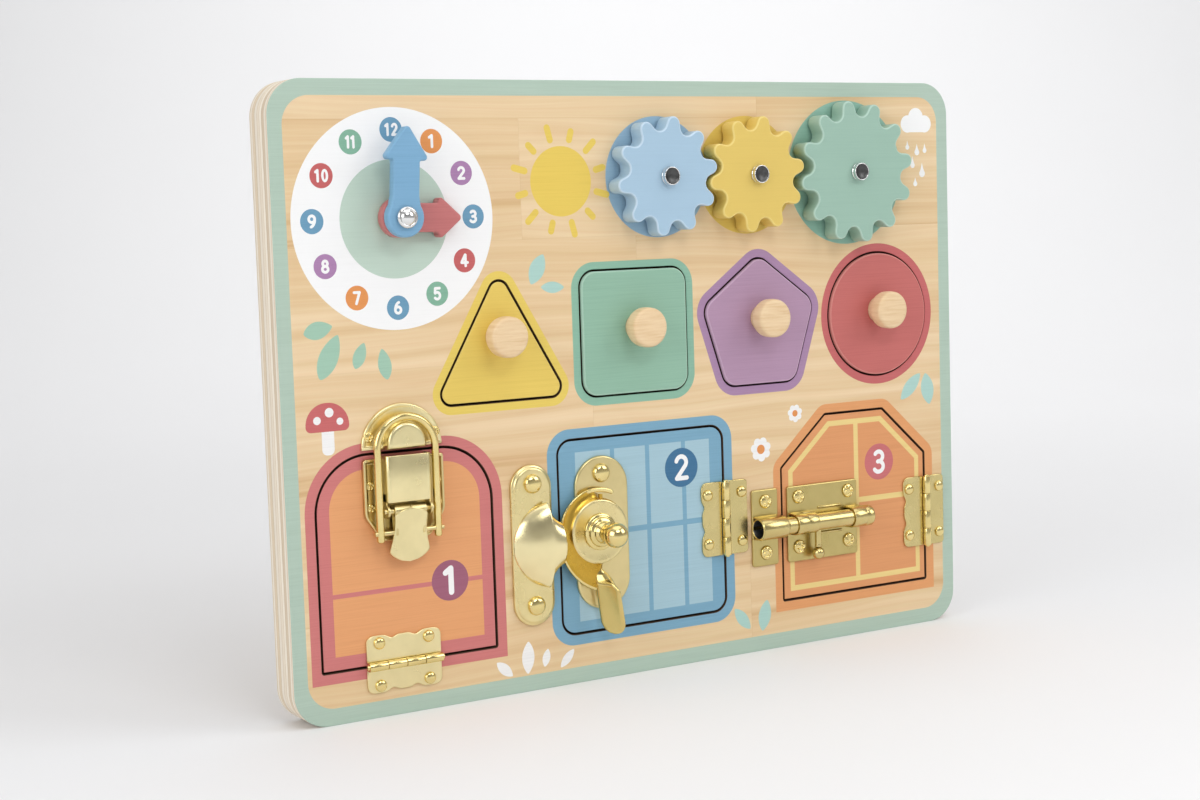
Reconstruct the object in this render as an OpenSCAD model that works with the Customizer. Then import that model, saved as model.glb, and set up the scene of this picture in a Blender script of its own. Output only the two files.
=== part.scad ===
/* [Board] */
// Board width across the face
board_w = 400; // [360:1:440]
// Board height standing on its long edge
board_h = 300; // [270:1:330]
// Outer corner radius
board_r = 17; // [8:0.5:30]
// Front panel thickness
front_t = 7; // [6:0.5:9]
// Core panel thickness, the depth of the spaces behind the doors
core_t = 9; // [7:0.5:12]
// Backing panel thickness
back_t = 6; // [3:0.5:9]
// How far the tallest knob stands out from the face
reach = 28; // [24:0.5:34]

/* [Doors and pieces] */
// Door leaf thickness
door_t = 6.7; // [5:0.1:8.5]
// Gap round doors and puzzle pieces
gap = 1.0; // [0.6:0.1:1.6]
// Width of the ledge that each door closes against
ledge = 4; // [2:0.5:6]
// How far three of the puzzle pieces stand proud
proud = 1.2; // [0.3:0.1:3]
// Knob radius
knob_r = 10; // [7:0.5:12]
// Knob height above its piece
knob_h = 13.5; // [10:0.5:18]

/* [Gears] */
// Gear thickness
gear_t = 10; // [6:0.5:12]
// Tip radius of the two ten-tooth gears
gear_small = 30; // [26:0.1:32]
// Tip radius of the twelve-tooth gear
gear_large = 37.6; // [33:0.1:40]

/* [Clock] */
// Minute hand length from the pivot
minute_len = 42.3; // [30:0.1:48]
// Hour hand length from the pivot
hour_len = 31.6; // [20:0.1:40]

/* [Hidden] */
$fn = 96;
board_t = front_t + core_t + back_t;
back_y = (board_t + reach) / 2;            // rear face of the board
face_y = back_y - board_t;                 // front face of the board
seat = front_t - 0.3;                      // depth of a puzzle piece's back

// colours
wood = [0.86, 0.74, 0.58]; ply = [0.90, 0.85, 0.78]; sage = [0.62, 0.77, 0.70]; sky = [0.67, 0.78, 0.88]; sun = [0.89, 0.77, 0.40];
lilac = [0.69, 0.55, 0.66]; red = [0.75, 0.42, 0.42]; denim = [0.45, 0.65, 0.76]; orange = [0.87, 0.60, 0.40];
brass = [0.80, 0.70, 0.42]; chrome = [0.80, 0.80, 0.80];

// ---------- layout, millimetres on the face: [across from the middle, up from the bottom edge] ----------
clock = [-139.1, 235.6];
gears = [[7.65, 252], [62.7, 252], [128.1, 252.2]];
tri_c = [-85.4, 166.6]; sq_c = [-8.5, 174.9]; pent_c = [69, 172.9]; circ_c = [148.2, 175.2];
knobs = [[-86.6, 176.9], [-7.6, 177.1], [69.6, 177.4], [147.9, 177.6]];
tri_ap = 21.2; sq_half = 31.5; pent_ap = 30.5; circ_r = 33.5;      // middle of each cut line
tri_cr = 5.3; sq_cr = 8.5; pent_cr = 8.5;                          // corner radii of the cut lines
d1 = [-185.25, -93.5, 25.3, 125.8]; d1_r = 27;                     // door 1: left, right, bottom, top of the cut line
d2 = [-55.7, 43.3, 25.2, 122.8]; d2_r = 7.5;
d3 = [81.1, 179.4, 25.2, 122.9]; d3_sh = 96.4; d3_tl = 110.9; d3_tr = 150.3;
h1 = [-143.8, 25.3]; h2 = [43.3, 74]; h3 = [179.3, 63.6];          // middle of each hinge
hinge_l = 39; leaf = 14.5; leaf_t = 1.1; kn_r = 2; kn_h = 2.4; pin_r = 1.1; fit = 0.05;
hs_z = 12.9; hs_x = 10.7;                                          // hinge screw places from the pin middle
lx = -140.6; lev = [5.6, 98.6]; bp = [5.6, 88.5];                  // latch: middle, lever pivot and loop pivot as [out from face, up]
cam = [-36.5, 76.5]; sk = [-72.2, 73]; sb = [-31.8, 75];
ax_h = 6.2; ax_z = 66.4; bolt_r = 4.6;                             // barrel bolt axis

// ---------- helpers ----------
// puts a shape drawn on the face plane (x, z) so that it runs from h0 to h1 in front of the face
module slab(h0, h1) { translate([0, face_y - h0, 0]) rotate([90, 0, 0]) linear_extrude(height = h1 - h0) children(); }
// round things standing out of the face at p, profile drawn as [radius, out from face]
module turned(p) { translate([p[0], face_y, p[1]]) rotate([90, 0, 0]) rotate_extrude() children(); }
module peg(p, r, h0, h1) { translate([p[0], face_y - h0, p[1]]) rotate([90, 0, 0]) cylinder(r = r, h = h1 - h0); }
module xrod(x0, x1, h, z, r) { translate([x0, face_y - h, z]) rotate([0, 90, 0]) cylinder(r = r, h = x1 - x0); }
function heading(a, b) = atan2(a[0] - b[0], b[1] - a[1]);   // direction of the outward normal of edge a to b
function arc(c, r, a0, a1, n) = [for (i = [0:n]) let(t = a0 + (a1 - a0) * i / n) c + r * [cos(t), sin(t)]];
// convex outline with round corners: c are the corner circle centres, anticlockwise
module rounded(c, r) {
  n = len(c);
  polygon([for (i = [0:n - 1]) let(p = c[(i + n - 1) % n], q = c[i], s = c[(i + 1) % n],
    a0 = heading(q, p) + 180, a1 = heading(s, q) + 180, d = (a1 - a0 + 720) % 360) each arc(q, r, a0, a0 + d, max(4, ceil(d / 6)))]);
}
module rrect(x0, x1, z0, z1, r) { rounded([[x0 + r, z0 + r], [x1 - r, z0 + r], [x1 - r, z1 - r], [x0 + r, z1 - r]], r); }
// regular n-gon with apothem a, flat side down, corners rounded at cr when the cut line apothem is base
module ngon(c, n, base, cr, grow) {
  k = (base - cr) / cos(180 / n);
  rounded([for (i = [0:n - 1]) let(t = -90 - 180 / n + 360 * i / n + 360 / n) c + k * [cos(t), sin(t)]], cr + grow);
}
module stadium(c, hw, hh) { translate([c[0] - hw, c[1] - (hh - hw)]) square([2 * hw, 2 * (hh - hw)]);
  for (s = [-1, 1]) translate([c[0], c[1] + s * (hh - hw)]) circle(hw); }
module cap(r, h) { // dome of base radius r and height h as a half profile
  R = (r * r + h * h) / (2 * h);
  intersection() { translate([0, h - R]) circle(R); square([r, h]); }
}

// ---------- outlines ----------
module tri2(g) { ngon(tri_c, 3, tri_ap, tri_cr, g); }
module sq2(g) { rounded([for (s = [[-1, -1], [1, -1], [1, 1], [-1, 1]]) sq_c + (sq_half - sq_cr) * s], sq_cr + g); }
module pent2(g) { ngon(pent_c, 5, pent_ap, pent_cr, g); }
module circ2(g) { translate(circ_c) circle(circ_r + g); }
module door1_2(g) {
  translate([d1[0] - g, d1[2] - g]) square([d1[1] - d1[0] + 2 * g, d1[3] - d1_r - d1[2] + g]);
  translate([d1[0] + d1_r, d1[2]]) square([d1[1] - d1[0] - 2 * d1_r, d1[3] - d1[2] + g]);
  for (x = [d1[0] + d1_r, d1[1] - d1_r]) translate([x, d1[3] - d1_r]) circle(d1_r + g);
}
module door2_2(g) { rounded([[d2[0] + d2_r, d2[2] + d2_r], [d2[1] - d2_r, d2[2] + d2_r], [d2[1] - d2_r, d2[3] - d2_r], [d2[0] + d2_r, d2[3] - d2_r]], d2_r + g); }
module door3_2(g) {
  a = g * tan(22.5);
  polygon([[d3[0] - g, d3[2] - g], [d3[1] + g, d3[2] - g], [d3[1] + g, d3_sh + a], [d3_tr + a, d3[3] + g], [d3_tl - a, d3[3] + g], [d3[0] - g, d3_sh + a]]);
}
h_frame = [[h1[0] - hs_z, h1[1] - hs_x + 1], [h1[0] + hs_z, h1[1] - hs_x + 1], [h2[0] + hs_x, h2[1] - hs_z], [h2[0] + hs_x, h2[1] + hs_z],
  [h3[0] + hs_x - 1, h3[1] - hs_z], [h3[0] + hs_x - 1, h3[1] + hs_z]];
h_door1 = [[h1[0] - hs_z, h1[1] + hs_x], [h1[0] + hs_z, h1[1] + hs_x]];
h_door2 = [[h2[0] - hs_x, h2[1] - hs_z], [h2[0] - hs_x, h2[1] + hs_z]];
h_door3 = [[h3[0] - hs_x - 1, h3[1] - hs_z], [h3[0] - hs_x - 1, h3[1] + hs_z]];
catch_s = [[lx - 17.2, 134], [lx + 17.2, 134]];
base_s = [[lx - 17.5, 111], [lx + 17.5, 111], [lx - 17.5, 100.5], [lx + 17.5, 100.5]];
keep_s = [[sk[0], 103.7], [sk[0], 43.1]];
sash_s = [[sb[0] - 0.3, 105.2], [sb[0] - 0.3, 44.8]];
bk_s = [[69, 80.1], [69, 52.7]];
bp_s = [[90.8, 80.4], [124.2, 80.4], [90.8, 53.4], [124.2, 53.4]];

// ---------- board ----------
module outline() { rrect(-board_w / 2, board_w / 2, 0, board_h, board_r); }
module back_panel() { color(ply) slab(-board_t, -front_t - core_t) outline(); }
module core_panel() { color(ply) difference() {
  slab(-front_t - core_t, -front_t) outline();
  slab(-board_t, 1) { door1_2(-ledge); door2_2(-ledge); door3_2(-ledge); }
  peg(clock, 2.5, -12, 1);
  for (g = gears) peg(g, 3, -12, 1);
} }
module front_panel() { color(wood) difference() {
  slab(-front_t, 0) outline();
  slab(-front_t - 1, 1) { door1_2(gap / 2); door2_2(gap / 2); door3_2(gap / 2); tri2(gap / 2); sq2(gap / 2); pent2(gap / 2); circ2(gap / 2); }
  peg(clock, 2.5, -12, 1);
  for (g = gears) peg(g, 3, -12, 1);
  for (p = h_frame) peg(p, 1.1, -6, 1);
  for (p = catch_s) peg(p, 1.1, -6, 1);
  for (p = keep_s) peg(p, 1.8, -6, 1);
  for (p = bk_s) peg(p, 1.4, -6, 1);
} }

// ---------- clock ----------
module clock_pivot() { color(chrome) peg(clock, 2.5, -12, 13.5); }
module clock_cap() { color(chrome) turned(clock) translate([0, 13.5]) union() { square([5.1, 1.2]); translate([0, 1.2]) cap(5.1, 2.5); } }
module clock_washers() { color(ply) for (w = [[8, 0, 1], [6.5, 7.3, 7.8]]) difference() { peg(clock, w[0], w[1], w[2]); peg(clock, 2.5, w[1] - 1, w[2] + 1); } }
// hand pointing up from the pivot: shaft half width sw, head from hz to len with barbs hw
module hand2(sw, hw, hz, len) {
  r = 1.4;
  circle(9.3);
  translate([-sw, 0]) square([2 * sw, hz + 1]);
  rounded([[-hw + r + 0.6, hz + r], [hw - r - 0.6, hz + r], [0, len - 2 * r]], r);
}
module hand(a, h0, h1) { translate([clock[0], 0, clock[1]]) rotate([0, a, 0]) difference() {
  translate([0, face_y - h0, 0]) rotate([90, 0, 0]) linear_extrude(height = h1 - h0) children();
  translate([0, face_y + 1, 0]) rotate([90, 0, 0]) cylinder(r = 2.5 + fit, h = h1 + 2);
} }
module hour_hand() { color(red) hand(91.5, 1.3, 7) hand2(6.8, 11, 19.5, hour_len); }
module minute_hand() { color(denim) hand(3.5, 8.1, 13.2) hand2(6.7, 11.7, 26.4, minute_len); }

// ---------- gears ----------
// round-ended teeth: ra is the tip radius, rb the valley radius, joined by straight flanks
module gear2(n, tip, root, ra, rb, ph) {
  function turn(p, t) = [p[0] * cos(t) - p[1] * sin(t), p[0] * sin(t) + p[1] * cos(t)];
  hp = 180 / n;
  A = [tip - ra, 0]; B = (root + rb) * [cos(hp), sin(hp)]; d = B - A;
  f = atan2(d[1], d[0]); q = acos((ra + rb) / norm(d));
  // of the two cross tangents, the flank is the one that leaves the tip circle on the valley's side
  ta = abs(f - q - 90) < abs(f + q - 90) ? f - q : f + q;
  dv = (ta + 180 - (hp + 180) + 540) % 360 - 180;
  rotate(ph) difference() {
    polygon([for (i = [0:n - 1]) each [for (p = concat(arc(A, ra, -ta, ta, 12), arc(B, rb, hp + 180 + dv, hp + 180 - dv, 12))) turn(p, i * 360 / n)]]);
    circle(3 + fit);
  }
}
module gear(p) { slab(1.3, 1.3 + gear_t) translate(p) children(); }
module gear_blue() { color(sky) gear(gears[0]) gear2(10, gear_small, 22.8, 3.7, 4.2, 9.5); }
module gear_yellow() { color(sun) gear(gears[1]) gear2(10, gear_small, 22.8, 3.7, 4.2, 8.5); }
module gear_green() { color(sage) gear(gears[2]) gear2(12, gear_large, 29.3, 3.9, 4.4, 9.2); }
module gear_spacers() { color(ply) for (g = gears) difference() { peg(g, 8, 0, 1); peg(g, 3, -1, 2); } }
module gear_axles() { color(chrome) for (g = gears) { peg(g, 3, -12, 11.6); turned(g) translate([0, 11.6]) polygon([[0, 0], [4.3, 0], [4.6, 0.3], [4.6, 2.7], [4.1, 3.2], [0, 3.2]]); } }

// ---------- puzzle pieces ----------
module piece(i, p) { h = i == 0 ? 0.2 : proud; difference() { slab(-seat, h) children(); peg(knobs[i], 3, h - 5.5, h + 1); } }
module knob(i) { h = i == 0 ? 0.2 : proud; color(wood) { turned(knobs[i]) translate([0, h]) union() {
  square([6.6, 6]);
  translate([0, 4.5]) square([knob_r - 2.6, knob_h - 4.5]);
  translate([0, 7.1]) square([knob_r, knob_h - 4.5 - 5.2]);
  for (z = [7.1, knob_h - 2.6]) translate([knob_r - 2.6, z]) circle(2.6);
} peg(knobs[i], 3, h - 5.5, h + 1); } }
module piece_triangle() { color(sun) piece(0) tri2(-gap / 2); }
module piece_square() { color(sage) piece(1) sq2(-gap / 2); }
module piece_pentagon() { color(lilac) piece(2) pent2(-gap / 2); }
module piece_circle() { color(red) piece(3) circ2(-gap / 2); }
module knob_triangle() { knob(0); }
module knob_square() { knob(1); }
module knob_pentagon() { knob(2); }
module knob_circle() { knob(3); }

// ---------- doors ----------
module door_1() { color(orange) difference() { slab(-door_t, 0) door1_2(-gap / 2); for (p = concat(h_door1, base_s)) peg(p, 1.1, -5.5, 1); } }
module door_2() { color(denim) difference() { slab(-door_t, 0) door2_2(-gap / 2); for (p = h_door2) peg(p, 1.1, -5.5, 1); for (p = sash_s) peg(p, 1.8, -5.5, 1); peg(cam, 2.6, -5.5, 1); } }
module door_3() { color(orange) difference() { slab(-door_t, 0) door3_2(-gap / 2); for (p = h_door3) peg(p, 1.1, -5.5, 1); for (p = bp_s) peg(p, 1.4, -5.5, 1); } }

// ---------- butt hinges: drawn with the pin upright through the middle, frame leaf to the right ----------
seg = hinge_l / 4;
module leaf2(reachx) { // leaf outline beyond the knuckles, with a waved outer edge
  difference() {
    union() {
      translate([kn_r + 0.6, -hinge_l / 2]) square([reachx - kn_r - 0.6 - 2.5, hinge_l]);
      translate([kn_r + 0.6, -hinge_l / 2 + 2.5]) square([reachx - kn_r - 0.6, hinge_l - 5]);
      for (s = [-1, 1]) translate([reachx - 2.5, s * (hinge_l / 2 - 2.5)]) circle(2.5);
    }
    translate([reachx + 8.2, 0]) circle(10.4);
  }
}
module leaf3(side, reachx, odd, sx) { // side +1 frame leaf, -1 door leaf
  difference() {
    union() {
      mirror([side < 0 ? 1 : 0, 0, 0]) translate([0, face_y, 0]) rotate([90, 0, 0]) linear_extrude(height = leaf_t) leaf2(reachx);
      for (i = [0:3]) if ((i % 2 == 0) == odd) {
        translate([side > 0 ? 0.6 : -kn_r - 1.6, face_y - leaf_t, -hinge_l / 2 + i * seg + 0.2]) cube([kn_r + 1, leaf_t, seg - 0.4]);
        translate([0, face_y - kn_h, -hinge_l / 2 + i * seg + 0.2]) cylinder(r = kn_r, h = seg - 0.4);
      }
    }
    translate([0, face_y - kn_h, -hinge_l]) cylinder(r = pin_r + (odd ? 0 : fit), h = 2 * hinge_l);
    for (s = [-1, 1]) translate([side * sx, face_y + 1, s * hs_z]) rotate([90, 0, 0]) cylinder(r = 1.1, h = 4);
  }
}
module at1() { translate([h1[0], 0, h1[1]]) rotate([0, 90, 0]) children(); }
module at2() { translate([h2[0], 0, h2[1]]) children(); }
module at3() { translate([h3[0], 0, h3[1]]) children(); }
module hpin() { color(brass) translate([0, face_y - kn_h, -hinge_l / 2 - 0.9]) cylinder(r = pin_r, h = hinge_l + 1.8); }
module hinge_1_frame_leaf() { color(brass) at1() leaf3(1, 13.2, true, hs_x - 1); }
module hinge_1_door_leaf() { color(brass) at1() leaf3(-1, leaf, false, hs_x); }
module hinge_1_pin() { at1() hpin(); }
module hinge_2_frame_leaf() { color(brass) at2() leaf3(1, leaf, true, hs_x); }
module hinge_2_door_leaf() { color(brass) at2() leaf3(-1, leaf, false, hs_x); }
module hinge_2_pin() { at2() hpin(); }
module hinge_3_frame_leaf() { color(brass) at3() leaf3(1, 13.2, true, hs_x - 1); }
module hinge_3_door_leaf() { color(brass) at3() leaf3(-1, 15.5, false, hs_x + 1); }
module hinge_3_pin() { at3() hpin(); }

// ---------- screws: domed head of radius r and height t seated at h, shank s down to d ----------
module screw(p, r, t, h, s, d) { turned(p) union() { translate([0, h]) cap(r, t); translate([0, d]) square([s, h - d]); } }
module xscrew(p, r, t, h, s, d) { difference() { screw(p, r, t, h, s, d);
  for (a = [0, 90]) translate([p[0], face_y - h - t, p[1]]) rotate([0, a + 20, 0]) cube([r * 1.1, 1.1, r * 0.26], center = true); } }
module hinge_screws_frame() { color(brass) for (p = h_frame) screw(p, 2.7, 1.5, leaf_t, 1.1, -6); }
module hinge_screws_door_1() { color(brass) for (p = h_door1) screw(p, 2.7, 1.5, leaf_t, 1.1, -5.5); }
module hinge_screws_door_2() { color(brass) for (p = h_door2) screw(p, 2.7, 1.5, leaf_t, 1.1, -5.5); }
module hinge_screws_door_3() { color(brass) for (p = h_door3) screw(p, 2.7, 1.5, leaf_t, 1.1, -5.5); }
module latch_catch_screws() { color(brass) for (p = catch_s) xscrew(p, 2.6, 1.3, 1.4, 1.1, -6); }
module latch_base_screws() { color(brass) for (p = base_s) xscrew(p, 2.2, 1.2, 1.4, 1.1, -5.5); }
module sash_keeper_screws() { color(brass) for (p = keep_s) screw(p, 4.8, 2.4, 3, 1.8, -6); }
module sash_base_screws() { color(brass) for (p = sash_s) screw(p, 4.8, 2.4, 1.8, 1.8, -5.5); }
module bolt_keeper_screws() { color(brass) for (p = bk_s) xscrew(p, 3.7, 1.9, 1.5, 1.4, -6); }
module bolt_plate_screws() { color(brass) for (p = bp_s) xscrew(p, 3.7, 1.9, 1.5, 1.4, -5.5); }

// ---------- door 1: loop-and-lever latch ----------
module latch_catch_plate() { color(brass) difference() {
  union() {
    slab(0, 1.4) intersection() { translate([lx, 127.8]) circle(21); translate([lx - 22, 127.8]) square([44, 30]); }
    slab(1.4, 7.4) intersection() { union() { translate([lx, 130.4]) circle(10); translate([lx - 10, 120]) square([20, 10.4]); } translate([lx - 22, 127.8]) square([44, 30]); }
  }
  for (p = catch_s) peg(p, 1.1, -1, 3);
} }
module latch_base() { color(brass) difference() {
  union() {
    slab(0, 1.4) {
      rrect(lx - 21, lx + 21, 96, 123.4, 2.5);
      rounded([[lx - 12, 89], [lx + 12, 89], [lx + 17, 98], [lx - 17, 98]], 4);
    }
    // folded bridge: profile across the latch, run along its height
    translate([lx, face_y, 102.9]) linear_extrude(height = 22.1) difference() {
      union() { translate([-11.7, -6.3]) square([23.4, 5.3]); translate([-9.5, -8.5]) square([19, 6]); for (s = [-1, 1]) translate([s * 9.5, -6.3]) circle(2.2); }
      union() { translate([-10.5, -6.3]) square([21, 4.9]); translate([-9.5, -7.3]) square([19, 5]); for (s = [-1, 1]) translate([s * 9.5, -6.3]) circle(1); }
    }
    for (s = [-1, 1]) translate([lx + (s > 0 ? 10.5 : -11.7), face_y, 0]) rotate([90, 0, 90]) linear_extrude(height = 1.2) union() {
      translate([-6.3, 95.5]) square([5.3, 12]);
      translate([-lev[0], lev[1]]) circle(2.9);
    }
  }
  xrod(lx - 20, lx + 20, lev[0], lev[1], 1.4);
  for (p = base_s) peg(p, 1.1, -1, 3);
} }
module latch_pivot_pin() { color(brass) xrod(lx - 12.4, lx + 12.4, lev[0], lev[1], 1.4); }
module latch_lever() { color(brass) difference() {
  union() {
    xrod(lx - 9.9, lx + 9.9, lev[0], lev[1], 3.8);
    // thumb plate, sloping in towards the door
    translate([lx, face_y - lev[0], lev[1]]) rotate([10, 0, 0]) rotate([90, 0, 0]) translate([0, 0, 2.6]) linear_extrude(height = 1.2) {
      polygon([[-8.4, 0], [-7.6, -8.6], [-10, -20], [10, -20], [7.6, -8.6], [8.4, 0]]);
      intersection() { translate([0, -12.6]) circle(12.6); translate([-10, -30]) square([20, 10.1]); }
    }
    for (s = [-1, 1]) translate([lx + (s > 0 ? 6.4 : -7.6), face_y, 0]) rotate([90, 0, 90]) linear_extrude(height = 1.2) union() {
      translate([-6.9, bp[1]]) square([3.9, lev[1] - bp[1]]);
      translate([-bp[0], bp[1]]) circle(1.75);
    }
  }
  xrod(lx - 20, lx + 20, lev[0], lev[1], 1.4 + fit);
  xrod(lx - 20, lx + 20, bp[0], bp[1], 1.1);
} }
module latch_bail_pin() { color(brass) xrod(lx - 17.7, lx + 17.7, bp[0], bp[1], 1.1); }
module latch_bail() { color(brass) difference() {
  union() {
    translate([lx, face_y - bp[0], 127.9]) rotate([90, 0, 0]) rotate_extrude(angle = 180) translate([15, 0]) circle(1.9);
    for (s = [-15, 15]) { translate([lx + s, face_y - bp[0], 86]) cylinder(r = 1.9, h = 41.9); translate([lx + s, face_y - bp[0], 86]) sphere(1.9); }
  }
  xrod(lx - 20, lx + 20, bp[0], bp[1], 1.1 + fit);
} }

// ---------- door 2: crescent sash lock ----------
module sash_keeper() { color(brass) difference() {
  union() {
    slab(0, 1.8) stadium(sk, 11.4, 40);
    slab(1.8, 3) stadium(sk, 10.4, 39);
    intersection() {
      translate([-61, face_y + 20.1, sk[1]]) sphere(32.5);
      slab(3, 14) difference() {
        union() { translate([-62, sk[1]]) circle(21.5); }
        translate([-59.2, 40]) square([30, 70]);
        for (s = [-1, 1]) translate([-52.8, sk[1] + s * 22]) circle(12.8);
      }
    }
  }
  // hollow behind the nose, open towards the door
  intersection() {
    translate([-61, face_y + 20.1, sk[1]]) sphere(30.9);
    slab(3, 14) translate([-66, sk[1] - 14]) square([20, 28]);
  }
  for (p = keep_s) peg(p, 1.8, -1, 4);
} }
module sash_base() { color(brass) difference() { slab(0, 1.8) stadium(sb, 15.4, 38.8); for (p = sash_s) peg(p, 1.8, -1, 3); peg(cam, 2.6, -1, 3); } }
module sash_pivot() { color(brass) peg(cam, 2.6, -5.5, 9); }
module sash_cam() { color(brass) difference() {
  union() {
    peg(cam, 16.5, 3.6, 5.8);
    turned(cam) polygon([[2, 2.2], [8, 2.2], [8, 3.6], [16.5, 3.6], [16.5, 5.8], [15.6, 7], [2, 7]]);
    // crescent blade on the keeper side: its radius grows towards the thumb tab, and its upper end is a free hook
    slab(3.6, 5.2) difference() {
      union() {
        intersection() { translate(cam) circle(21.9); translate(cam) polygon([[0, 0], [30, 54], [0, 70], [-60, 50], [-60, -40]]); }
        intersection() { translate(cam + 6.5 * [cos(268), sin(268)]) circle(21.9); translate(cam) polygon([[0, 0], [-60, -10], [-60, -60], [-1, -60]]); }
      }
      intersection() { translate(cam) circle(19.6); translate(cam) polygon([[0, 0], [40, 60], [1, 60]]); }
    }
    // thumb tab, turned to stand out from the door, on a tongue of the blade
    slab(3.6, 5.6) translate([cam[0], 0]) polygon([[-6, 62], [-4.2, 47], [-1.2, 45], [0.5, 62]]);
    translate([cam[0] + 1.3, face_y - 10, 0]) rotate([0, 0, -62]) rotate([90, 0, 0]) translate([0, 0, -0.9]) linear_extrude(height = 1.8) {
      polygon([[-7, 60], [-7, 31.5], [7, 31.5], [7, 48], [-3, 60]]);
      translate([0, 31.5]) circle(7);
    }
  }
  peg(cam, 2.6 + fit, 0, 12);
} }
module sash_knob() { color(brass) difference() {
  turned(cam) union() {
    polygon([[0, 7], [9, 7], [9, 8], [8.2, 8.8], [6.4, 8.8], [6.4, 9.8], [5.8, 10.6], [4.2, 10.6], [3.6, 12], [3.6, 20], [0, 20]]);
    intersection() { translate([0, reach - 6.3]) circle(6.3); translate([0, 10]) square([10, 30]); }
  }
  peg(cam, 2.6 + fit, 0, 9.3);
} }

// ---------- door 3: barrel bolt ----------
module strap2(ro, ri) { difference() { union() { circle(ro); translate([-ro, 0]) square([2 * ro, ax_h - 0.2]); } circle(ri); } }
// runs a profile drawn as [up, back] round the bolt axis from x0 to x1
module along(x0, x1) { translate([x0, face_y - ax_h, ax_z]) rotate([90, 0, 90]) linear_extrude(height = x1 - x0) rotate(-90) mirror([0, 0]) children(); }
module bolt_keeper() { color(brass) difference() {
  union() {
    slab(0, 1.5) rrect(60.4, 77.3, 45.6, 86.6, 1.5);
    difference() { along(60.4, 77.3) rotate(180) strap2(6, 5); }
  }
  for (p = bk_s) peg(p, 1.4, -1, 3);
} }
module bolt_plate() { color(brass) difference() {
  union() {
    slab(0, 1.5) rrect(83.6, 130.5, 45.4, 86.4, 1.5);
    along(84, 97.6) rotate(180) strap2(5.7, bolt_r + fit);
    along(121.8, 130.5) rotate(180) strap2(5.7, bolt_r + fit);
    along(130, 135) difference() { circle(5.7); circle(bolt_r + fit); }
  }
  // slot that lets the stem run on towards the keeper
  translate([91.4, face_y - ax_h - 2.4, ax_z - 8]) cube([8, 4.8, 8]);
  for (p = bp_s) peg(p, 1.4, -1, 3);
} }
module bolt_bar() { color(brass) {
  difference() { xrod(78.2, 128.6, ax_h, ax_z, bolt_r); xrod(77, 82, ax_h, ax_z, 3.2); }
  translate([99.9, face_y - ax_h, ax_z - 16.4]) cylinder(r = 1.7, h = 16);
  translate([99.9, face_y - ax_h, ax_z - 16.8]) sphere(3.9);
} }

back_panel();
core_panel();
front_panel();
clock_pivot();
clock_washers();
hour_hand();
minute_hand();
clock_cap();
gear_spacers();
gear_axles();
gear_blue();
gear_yellow();
gear_green();
piece_triangle();
knob_triangle();
piece_square();
knob_square();
piece_pentagon();
knob_pentagon();
piece_circle();
knob_circle();
door_1();
door_2();
door_3();
hinge_1_frame_leaf();
hinge_1_door_leaf();
hinge_1_pin();
hinge_2_frame_leaf();
hinge_2_door_leaf();
hinge_2_pin();
hinge_3_frame_leaf();
hinge_3_door_leaf();
hinge_3_pin();
hinge_screws_frame();
hinge_screws_door_1();
hinge_screws_door_2();
hinge_screws_door_3();
latch_catch_plate();
latch_catch_screws();
latch_base();
latch_base_screws();
latch_pivot_pin();
latch_lever();
latch_bail_pin();
latch_bail();
sash_keeper();
sash_keeper_screws();
sash_base();
sash_base_screws();
sash_pivot();
sash_cam();
sash_knob();
bolt_keeper();
bolt_keeper_screws();
bolt_plate();
bolt_plate_screws();
bolt_bar();
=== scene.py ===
"""A wooden busy board with a clock, gears, shape pieces and three latched doors, standing in a plain pale studio."""
import math

import bpy
import numpy as np
from mathutils import Matrix, Vector
from mathutils.geometry import delaunay_2d_cdt


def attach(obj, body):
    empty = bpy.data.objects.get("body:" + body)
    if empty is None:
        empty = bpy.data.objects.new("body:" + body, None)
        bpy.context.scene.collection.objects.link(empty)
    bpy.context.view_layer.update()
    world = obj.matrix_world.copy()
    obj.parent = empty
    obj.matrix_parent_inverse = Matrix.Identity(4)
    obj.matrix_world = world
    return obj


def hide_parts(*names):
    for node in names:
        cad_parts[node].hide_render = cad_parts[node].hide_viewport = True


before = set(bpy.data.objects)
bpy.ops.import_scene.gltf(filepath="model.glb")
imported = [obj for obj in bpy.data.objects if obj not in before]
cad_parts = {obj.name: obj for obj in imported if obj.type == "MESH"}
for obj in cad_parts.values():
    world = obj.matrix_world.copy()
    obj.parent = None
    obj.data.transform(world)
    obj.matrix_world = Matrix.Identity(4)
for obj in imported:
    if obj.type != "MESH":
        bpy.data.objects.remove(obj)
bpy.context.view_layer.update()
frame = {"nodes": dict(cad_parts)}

MM = 0.001
FACE = 3.0          # the board's front face lies at y = 3 mm
sin, cos, pi = math.sin, math.cos, math.pi


def P(x, h, z):
    """x across, h out from the face, z up, in millimetres, as a point in the scene."""
    return (x * MM, (FACE - h) * MM, z * MM)


# ------------------------------------------------------------------ colours and materials
def lin(c):
    return tuple(((v / 255) / 12.92 if v <= 10 else ((v / 255 + 0.055) / 1.055) ** 2.4) for v in c) + (1.0,)


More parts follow.
